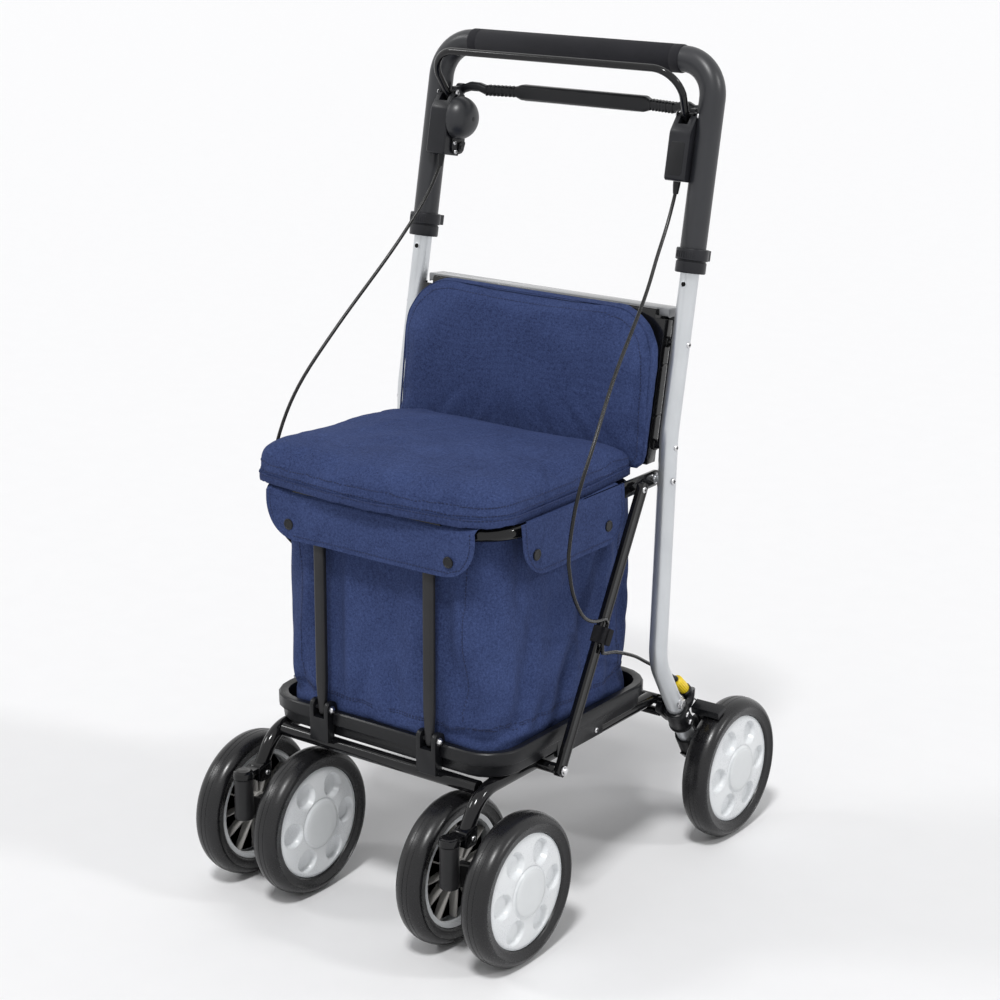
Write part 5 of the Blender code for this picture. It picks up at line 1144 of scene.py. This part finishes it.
def add_backrest():
    """Padded backrest: simulated cover with creases low down, a seam bead and a row of stitching."""
    levels = [(-0.0105, 0.01), (-0.0085, 0.003), (-0.002, 0.001), (0.007, 0.0014), (0.0115, 0.004),
              (0.0138, 0.011), (0.0148, 0.024), (0.0152, 0.042)]
    rings = [[back_place(a, b, depth) for a, b in back_outline(inset)] for depth, inset in levels]
    pad = remeshed("back_pad", lofted(rings), 0.0045)
    rear = [v.index for v in pad.data.vertices if back_place(0, v.co.z, 0).y - v.co.y < -0.008]
    settled(pad, 22, pressure=2.4, growth=0.012, held=rear, cap=0.0052)
    for vertex in pad.data.vertices:
        x, y, z = vertex.co
        depth = back_place(0, z, 0).y - y
        if depth < -0.004:
            continue
        low = exp(-((z - 0.52) / 0.026) ** 2)
        fold = 0.0
        for spot, lean, size in ((-0.095, 0.9, 1.0), (-0.05, 0.5, 0.8), (-0.005, -0.3, 0.9),
                                 (0.04, -0.6, 0.8), (0.085, -0.9, 0.9), (0.12, -1.1, 0.6)):
            offset = x - spot - lean * (z - 0.52)
            fold -= size * exp(-(offset / 0.0055) ** 2) - 0.5 * size * exp(-((offset - 0.011) / 0.008) ** 2)
        broad = rough(x * 14, z * 22, 2.7)
        vertex.co.y -= 0.0026 * fold * low + 0.0014 * broad * min(1.0, depth / 0.004)
    finished_pad(pad, "rear_frame", "backrest_cushion", passes=2)
    cover = surface_of(pad)
    edge = [cover.find_nearest(back_place(a, b, 0.009))[0] for a, b in back_outline(0.001, 14)]
    rings = []
    centre = back_place(0, 0.572, 0.009)
    for place in edge:
        out = (place - centre).normalized()
        out = (out - HANDLE_FRONT * out.dot(HANDLE_FRONT)).normalized()
        rings.append([place + out * 0.001 * cos(t * pi / 5) + HANDLE_FRONT * 0.0012 * sin(t * pi / 5)
                      for t in range(10)])
    put("backrest_seam", lofted(rings, closed=True), "binding", "rear_frame", 60)
    outline = back_outline(0.009, 14)
    row = [back_place(a, b, 0.02) for a, b in outline + outline[:1]]
    stitches("backrest_stitches", [row], "rear_frame", cover)


def add_back_panel():
    ribs = []
    for side, tag in SIDES:
        for z in (0.535, 0.59):
            y = handle_point(0, z).y
            ribs.append(block((side * 0.1672 - 0.0006, y - 0.011, z - 0.0012),
                              (side * 0.1672 + 0.0006, y + 0.005, z + 0.0012), 0.0004))
        for z in (0.5038, 0.615):
            y = handle_point(0, z).y
            ribs.append(lathe([(0, 0.0062), (0.002, 0.0062), (0.0024, 0.0058), (0.0024, 0.003)],
                              (side * 0.1676, y, z), (side, 0, 0), 28))
    put("back_panel_trim", joined(*ribs), "gloss_plastic", "rear_frame", 40)
    flange = []
    for side, tag in SIDES:
        rings = []
        for z in (0.504, 0.506, 0.638, 0.64):
            y = handle_point(0, z).y
            inner, outer = sorted((side * 0.1715, side * 0.1788))
            rings.append([Vector(p) for p in ((inner, y - 0.002, z), (outer, y - 0.002, z),
                                              (outer, y + 0.002, z), (inner, y + 0.002, z))])
        flange.append(lofted(rings))
    put("back_panel_flanges", joined(*flange), "plastic", "rear_frame", 40)
    side_view = rounded([(0.1015, 0.642), (0.1015, 0.6512), (0.1296, 0.6484), (0.1296, 0.627), (0.122, 0.627),
                         (0.122, 0.642)], [0.001, 0.0014, 0.003, 0.001, 0.001, 0.001], 5)
    rings = []
    for x, inset in ((-0.1662, 0.0012), (-0.1655, 0.0003), (-0.1645, 0.0), (0.1645, 0.0), (0.1655, 0.0003),
                     (0.1662, 0.0012)):
        rings.append([Vector((x, 0.115 + (a - 0.115) * (1 - inset / 0.015), b - inset))
                      for a, b in side_view])
    put("back_panel_cap", lofted(rings), "panel_cap", "rear_frame", 40)


# Bag, flaps and hoop

def bag_row(z, columns):
    sag = 0.0035 * sin(pi * clamped((z - 0.215) / 0.241))
    inset = 0.0005 - sag * 0.6
    low, high = -0.196 + inset, 0.084 - inset
    wide, corner = 0.1475 - inset, 0.04
    ring = rounded([(wide, low), (wide, high), (-wide, high), (-wide, low)], corner, 10)
    ring = [Vector((*place, 0)) for place in ring]
    return [Vector((p.x, p.y, z)) for p in spaced(ring + ring[:1], columns, columns)]


# Creases of the bag on one face: start and end as (along the face, height), width, depth
CREASE_WIDTH, CREASE_DEPTH = 1.6, 1.9
BAG_CREASES = {
    "front": [
        ((0.086, 0.235), (0.082, 0.4), 0.006, 0.0042), ((0.063, 0.24), (0.066, 0.37), 0.0052, 0.0028),
        ((-0.064, 0.24), (-0.066, 0.38), 0.0052, 0.003), ((-0.086, 0.235), (-0.083, 0.39), 0.006, 0.0038),
        ((0.118, 0.225), (0.101, 0.33), 0.0064, 0.0032), ((-0.115, 0.228), (-0.101, 0.33), 0.0064, 0.003),
        ((-0.02, 0.26), (0.015, 0.35), 0.012, 0.002),
        ((0.03, 0.23), (0.01, 0.29), 0.007, 0.0024), ((-0.035, 0.225), (-0.015, 0.285), 0.007, 0.0022),
        ((-0.129, 0.26), (-0.125, 0.4), 0.008, 0.0026), ((0.127, 0.3), (0.133, 0.42), 0.007, 0.0026),
    ],
    "right": [
        ((-0.15, 0.235), (-0.125, 0.37), 0.007, 0.0038), ((-0.09, 0.23), (-0.05, 0.32), 0.007, 0.0042),
        ((-0.03, 0.25), (-0.045, 0.41), 0.008, 0.0032), ((0.015, 0.23), (0.035, 0.43), 0.007, 0.0046),
        ((0.045, 0.27), (0.056, 0.44), 0.006, 0.0042), ((-0.1, 0.35), (-0.03, 0.4), 0.009, 0.0024),
        ((0.0, 0.38), (0.035, 0.33), 0.007, 0.0028), ((-0.13, 0.226), (-0.105, 0.264), 0.0052, 0.0026),
        ((-0.02, 0.226), (-0.006, 0.27), 0.0052, 0.0026),
    ],
    "left": [
        ((-0.145, 0.235), (-0.13, 0.39), 0.007, 0.0036), ((-0.08, 0.23), (-0.06, 0.33), 0.007, 0.0038),
        ((-0.01, 0.24), (-0.025, 0.4), 0.008, 0.0032), ((0.03, 0.23), (0.042, 0.42), 0.007, 0.0042),
        ((-0.11, 0.33), (-0.05, 0.39), 0.009, 0.0026),
    ],
}


def bag_crease(place):
    """How far the cloth stands out from its smooth form at a point."""
    if place.y < -0.165:
        face, spot = "front", Vector((place.x, place.z))
    elif abs(place.x) > 0.12:
        face, spot = "right" if place.x > 0 else "left", Vector((place.y, place.z))
    else:
        return 0.0
    total = 0.0
    for start, end, width, depth in BAG_CREASES[face]:
        width, depth = width * CREASE_WIDTH, depth * CREASE_DEPTH
        way = Vector(end) - Vector(start)
        reach = spot - Vector(start)
        t = reach.dot(way) / way.length_squared
        if -0.1 < t < 1.1:
            away = (way.x * reach.y - way.y * reach.x) / way.length
            fade = sin(pi * min(0.98, max(0.02, t))) ** 0.6 * min(1.0, (0.1 + min(t, 1 - t)) / 0.1)
            total += depth * max(0.0, fade) * (0.6 * exp(-((away - 1.7 * width) / (1.2 * width)) ** 2)
                                               - exp(-(away / width) ** 2))
    return total


def add_bag():
    """Cloth tub that hangs from the hoop and stands in the tray, creased where it is gathered."""
    columns, levels = 200, 46
    rows = [bag_row(BAG_FLOOR_Z + (BAG_TOP_Z - BAG_FLOOR_Z) * k / (levels - 1), columns)
            for k in range(levels)]
    points = [p for row in rows for p in row]
    faces = [(r * columns + k, r * columns + (k + 1) % columns, (r + 1) * columns + (k + 1) % columns,
              (r + 1) * columns + k) for r in range(levels - 1) for k in range(columns)]
    faces.append(tuple(range(columns - 1, -1, -1)))
    mesh = bpy.data.meshes.new("bag_cloth")
    mesh.from_pydata([tuple(p) for p in points], [], faces)
    bag = added("bag_cloth", mesh)
    held = [v.index for v in mesh.vertices if v.co.z < 0.226 or v.co.z > 0.452]
    for vertex in mesh.vertices:
        x, y, z = vertex.co
        high = sin(pi * clamped((z - 0.224) / 0.23))
        out = Vector((x, y + 0.056, 0)).normalized()
        fold = rough(x * 16, y * 16, z * 5.0) + 0.5 * rough(x * 30, y * 40 + z * 34, 5)
        if y < -0.17:
            for spot, lean in ((0.056, 0.05), (0.096, -0.06), (0.118, -0.1)):
                fold -= 1.3 * exp(-((abs(x) - spot - lean * (z - 0.34)) / 0.006) ** 2)
        if x > 0.12:
            for spot in (0.25, 0.29, 0.335, 0.38):
                fold -= 0.9 * exp(-((z - spot - 0.45 * (y + 0.05)) / 0.007) ** 2)
        vertex.co += out * (0.0024 * fold * high)
    settled(bag, 26, growth=0.02, gravity=0.35, held=held, cap=0.006, stiffness=10.0)
    reworked(mesh, lambda work: smoothed(work, 0.21, 0.45))
    for vertex in mesh.vertices:
        x, y, z = vertex.co
        out = Vector((x, y + 0.056, 0))
        out = Vector((0, -1, 0)) if y < -0.165 and abs(x) < 0.12 else out.normalized()
        vertex.co += out * bag_crease(vertex.co)
        if 0.064 < abs(x) < 0.086 and vertex.co.y < BAG_FRONT_Y:
            vertex.co.y = BAG_FRONT_Y
    mesh.materials.append(MATERIALS["navy"])
    mesh.shade_smooth()
    skin = surface_of(bag)
    thickness = bag.modifiers.new("Solidify", "SOLIDIFY")
    thickness.thickness, thickness.offset = 0.0012, -1.0
    subdivided(bag)
    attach(bag, "base")
    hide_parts("bag_body")
    rim = bag_row(0.248, 120)
    rows = [[Vector((p.x * 1.02, p.y - 0.002, z)) for p in rim + rim[:1]] for z in (0.242, 0.2446)]
    seams = []
    for side, tag in SIDES:
        seams.append([Vector((side * 0.115, -0.205, 0.252 + k * 0.004)) for k in range(46)])
        for y in (0.04, 0.0426):
            seams.append([Vector((side * 0.156, y, 0.25 + k * 0.004)) for k in range(48)])
    sewn = stitches("bag_stitches", rows + seams, "base", skin, lift=0.0003)
    return bag, sewn


def panel(rows, outward, thick, count, wave):
    """A thin cloth panel lofted through rows, each from one edge to the other, waving outward."""
    rings = []
    outward = Vector(outward)
    for start, end in rows:
        front, back = [], []
        for k in range(count + 1):
            place = Vector(start).lerp(Vector(end), k / count)
            lift = wave(place)
            front.append(place + outward * (thick + lift))
            back.append(place + outward * lift)
        rings.append(front + list(reversed(back)))
    return lofted(rings)


def flap_rows(low, high, left, right, radius):
    """Rows of an upright panel with rounded lower corners: left and right give an edge at a height."""
    made = []
    for k in range(16):
        share = k / 15
        z = low + radius * (1 - cos(share * pi / 2))
        draw = radius * (1 - sin(share * pi / 2))
        made.append((z, left(z) + draw, right(z) - draw))
    for k in range(1, 9):
        z = low + radius + (high - low - radius) * k / 8
        made.append((z, left(z), right(z)))
    return made


def line_at(first, second):
    (a, z0), (b, z1) = first, second
    return lambda z: a + (b - a) * (z - z0) / (z1 - z0)


def inset_path(rows, inset, place):
    """The line inset from a panel's sides and lower edge."""
    low = rows[0][0]
    left = [place(a + inset, z) for z, a, b in reversed(rows) if z > low + inset * 1.6]
    right = [place(b - inset, z) for z, a, b in rows if z > low + inset * 1.6]
    first, last = left[-1], right[0]
    base = []
    for k in range(17):
        t = k / 16
        p = first.lerp(last, t)
        dip = min(1.0, min(t, 1 - t) * 16)
        p.z += (low + inset - p.z) * (sin(dip * pi / 2) if dip < 1 else 1.0)
        base.append(p)
    return left + base[1:-1] + right


def over_hoop(tag, path):
    """The cloth that runs from a flap over the hoop's tube and down inside it."""
    path = [Vector(p) for p in path]
    way = (path[1] - path[0]).normalized()
    up = Vector((0, 0, 1))
    out = way.cross(up)
    out = out if out.dot(path[0] - Vector((0, -0.08, path[0].z))) > 0 else -out
    section = []
    for radius in (0.0104, 0.0092):
        arc = [(radius * cos(radians(t)), radius * sin(radians(t)) * 0.9) for t in range(-12, 193, 12)]
        arc.append((-radius, -0.01))
        section += arc if radius > 0.01 else list(reversed(arc))
    rings = []
    count = 40
    for k in range(count + 1):
        place = path[0].lerp(path[1], k / count)
        swell = 1.0 + 0.02 * rough(*(place * 60))
        rings.append([place + out * (a * swell) + up * (b * swell) for a, b in section])
    put(f"hoop_fold_{tag}", lofted(rings), "navy", "seat_frame", 50)


def add_flaps():
    """Three cloth flaps folded over the hoop, each sewn round its edge and snapped at its ends."""
    rows = flap_rows(0.4175, 0.469, line_at((-0.141, 0.469), (-0.142, 0.44)),
                     line_at((0.141, 0.469), (0.142, 0.44)), 0.044)

    def front_wave(p):
        low = clamped((0.462 - p.z) / 0.03)
        return low * (0.0006 + 0.0012 * rough(p.x * 22, 0.3, p.z * 12) + 0.0006 * sin(p.x * 40))

    def front_place(a, z):
        return Vector((a, FLAP_FRONT_Y - 0.002, z))

    shape = panel([((a, FLAP_FRONT_Y, z), (b, FLAP_FRONT_Y, z)) for z, a, b in rows], (0, -1, 0), 0.0016,
                  70, front_wave)
    flap = put("front_flap_cloth", shape, "navy", "seat_frame", 50, replaces=["front_flap"])
    sewn = stitches("front_flap_stitches", [inset_path(rows, 0.0055, front_place)], "seat_frame",
                    surface_of(flap))
    snaps = put("front_flap_snaps", joined(*(snap((x, FLAP_FRONT_Y - 0.0021, 0.435), (0, -1, 0))
                                             for x in (-0.1086, 0.1086))), "plastic", "seat_frame", 40)
    for piece in (flap, sewn, snaps):
        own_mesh(piece)
    over_hoop("front", [(-0.1405, SEAT_FRONT[0], SEAT_FRONT[1]), (0.1405, SEAT_FRONT[0], SEAT_FRONT[1])])
    rows = flap_rows(0.4145, 0.4762, line_at((-0.1775, 0.4762), (-0.17, 0.416)),
                     line_at((0.0092, 0.4762), (0.0137, 0.413)), 0.036)
    for side, tag in SIDES:
        def side_wave(p):
            low = clamped((0.462 - p.z) / 0.03)
            return low * (0.0004 + 0.001 * rough(side * 3, p.y * 24, p.z * 12))

        def side_place(a, z):
            return Vector((side * 0.1735, a, z))

        shape = panel([((side * 0.1711, a, z), (side * 0.1711, b, z)) for z, a, b in rows], (side, 0, 0),
                      0.0016, 60, side_wave)
        flap = put(f"side_flap_cloth_{tag}", shape, "navy", "seat_frame", 50,
                   replaces=[f"side_flap_{tag}"])
        sewn = stitches(f"side_flap_stitches_{tag}", [inset_path(rows, 0.0055, side_place)], "seat_frame",
                        surface_of(flap))
        places = ((side * 0.173, -0.1531, 0.4387), (side * 0.173, -0.0211, 0.4359))
        snaps = put(f"side_flap_snaps_{tag}", joined(*(snap(p, (side, 0, 0)) for p in places)), "plastic",
                    "seat_frame", 40)
        over_hoop(tag, [(side * HOOP_X, 0.0085, SEAT_FRONT[1]), (side * HOOP_X, -0.16, SEAT_FRONT[1])])


def add_hoop():
    z = SEAT_FRONT[1]
    path = bent([(-HOOP_X, -0.026, z), (-HOOP_X, SEAT_FRONT[0], z), (HOOP_X, SEAT_FRONT[0], z),
                 (HOOP_X, -0.026, z)], 0.05, 14)
    put("hoop_rod", swept(path, circle(0.00805, 28), (0, 0, 1)), "gloss", "seat_frame", 50)
    rivets = joined(*(bolt_head((side * 0.1706, *SEAT_PIVOT), (side, 0, 0), 0.008, 0.0022, 0.0062)
                      for side, tag in SIDES))
    put("hoop_rivets", rivets, "zinc", "rear_frame")


# Brake cables

def strut_place(share, across):
    low, top = Vector(STRUT_FOOT), Vector(STRUT_TOP)
    way = (top - low).normalized()
    return low.lerp(top, share) + Vector((way.y, -way.x)) * across


def smooth_route(points, count):
    """Evenly spaced points of a smooth curve through the route's own points."""
    points = [Vector(p) for p in points]
    ends = [points[0] * 2 - points[1], *points, points[-1] * 2 - points[-2]]
    fine = []
    for a, b, c, d in zip(ends, ends[1:], ends[2:], ends[3:]):
        for k in range(12):
            t = k / 12
            fine.append(0.5 * (2 * b + (c - a) * t + (2 * a - 5 * b + 4 * c - d) * t * t
                               + (3 * b - a - 3 * c + d) * t ** 3))
    fine.append(points[-1])
    return spaced(fine, count, count - 1)


def cable_route():
    tucked, high = 0.18555, 0.009 / 0.3154
    start = handle_point(0.161, CABLE_FOOT_Z, 0.013) - HANDLE_AXIS * 0.0006
    way = (Vector(ADJUSTER) - Vector(ADJUSTER_LOW)).normalized() * -1
    end = Vector(ADJUSTER) - way * 0.0003
    points = [start, start - HANDLE_AXIS * 0.01, (0.164, 0.0985, 0.745), (0.1689, 0.0713, 0.7134),
              (0.1772, 0.0346, 0.6746), (0.1899, -0.0378, 0.6083), (0.2015, -0.0922, 0.5489),
              (0.204, -0.1253, 0.4969), (0.2049, -0.1407, 0.4442), (0.2043, -0.1375, 0.4174),
              (0.2029, -0.1285, 0.3922), (0.1996, -0.1068, 0.364), (0.194, -0.078, 0.348)]
    for x, share, across in ((tucked + 0.0015, STRAP_SHARE + high * 2.0, -0.007),
                             (tucked, STRAP_SHARE + high * 1.1, -0.001),
                             (tucked, STRAP_SHARE - high * 1.1, 0.001),
                             (tucked - 0.0005, STRAP_SHARE - high * 2.0, 0.007)):
        points.append((x, *strut_place(share, across)))
    points += [(0.1775, -0.01, 0.289), (0.1655, 0.045, 0.265), (0.161, 0.08, 0.245),
               (0.164, 0.108, 0.228), end - way * 0.008, end]
    return smooth_route(points, 72)


def add_cables():
    """Two Bowden cables from the lever housings, down through the strap on each strut, to the adjusters."""
    for side, tag in SIDES:
        route = [Vector((side * p.x, p.y, p.z)) for p in cable_route()]
        cable = put(f"brake_cable_sheath_{tag}", swept(route, circle(CABLE_RADIUS, 14), (0, 1, 0)), "cable",
                    "rear_frame", 60, replaces=[f"brake_cable_{tag}"])
        way = (route[-1] - route[-4]).normalized()
        ferrule = lathe([(-0.015, 0.0026), (-0.0145, 0.0031), (-0.004, 0.0031), (-0.0035, 0.0036),
                         (-0.0005, 0.0036), (-0.0001, 0.003)], route[-1], way, 28)
        put(f"cable_ferrule_{tag}", ferrule, "plastic", "rear_frame")


# Floor, lights and camera

def add_stage():
    floor_material = grained("pale_floor", (0.86, 0.86, 0.87), (0.87, 0.87, 0.88), 0.7, 40.0, 0.0)
    half = 60.0
    mesh = bpy.data.meshes.new("floor")
    mesh.from_pydata([(-half, -half, 0), (half, -half, 0), (half, half, 0), (-half, half, 0)], [],
                     [(0, 1, 2, 3)])
    mesh.materials.append(floor_material)
    added("floor", mesh)
    world = bpy.data.worlds.new("pale_room")
    bpy.context.scene.world = world
    world.use_nodes = True
    nodes, links = world.node_tree.nodes, world.node_tree.links
    nodes.clear()
    path = nodes.new("ShaderNodeLightPath")
    seen = path.outputs["Is Camera Ray"]
    for name in ("Is Glossy Ray", "Is Transmission Ray"):
        either = nodes.new("ShaderNodeMath")
        either.operation = "MAXIMUM"
        links.new(seen, either.inputs[0])
        links.new(path.outputs[name], either.inputs[1])
        seen = either.outputs[0]
    strength = nodes.new("ShaderNodeMapRange")
    strength.inputs["To Min"].default_value = 0.42
    strength.inputs["To Max"].default_value = 1.0
    links.new(seen, strength.inputs["Value"])
    back = nodes.new("ShaderNodeBackground")
    back.inputs["Color"].default_value = (1, 1, 1, 1)
    links.new(strength.outputs["Result"], back.inputs["Strength"])
    output = nodes.new("ShaderNodeOutputWorld")
    links.new(back.outputs["Background"], output.inputs["Surface"])
    for name, direction, power, angle in (
            ("key_light", (0.35, -0.8, 1.5), 1.75, 9), ("side_light", (1.2, 0.3, 0.8), 0.62, 8),
            ("left_light", (-1.0, -0.6, 0.9), 0.5, 12)):
        lamp = bpy.data.lights.new(name, "SUN")
        lamp.energy = power
        lamp.angle = radians(angle)
        obj = added(name, lamp)
        obj.rotation_euler = Vector(direction).to_track_quat("Z", "Y").to_euler()
        obj.location = Vector(direction) * 2
    bpy.context.scene.view_settings.view_transform = "Standard"


def add_camera():
    data = bpy.data.cameras.new("camera")
    data.sensor_width = 36.0
    data.lens = 2343.27 * 36.0 / 1000.0
    data.clip_end = 200.0
    camera = added("camera", data)
    turn, rise = radians(36.5633), radians(17.1071)
    back = Vector((sin(turn) * cos(rise), -cos(turn) * cos(rise), sin(rise)))
    camera.location = (1.5071, -2.0151, 1.2026)
    camera.rotation_euler = (-back).to_track_quat("-Z", "Y").to_euler()
    bpy.context.scene.camera = camera


add_camera()
add_cables()
add_stage()
add_moulded()
add_uprights()
add_rear_feet()
add_wheels()
add_casters()
add_handle_tube()
add_collars()
add_brake_controls()
add_bell()
add_base()
add_posts_and_struts()
add_hoop()
add_seat()
add_backrest()
add_back_panel()
add_flaps()
bag, bag_stitches = add_bag()
for piece in (bag, bag_stitches):
    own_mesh(piece)
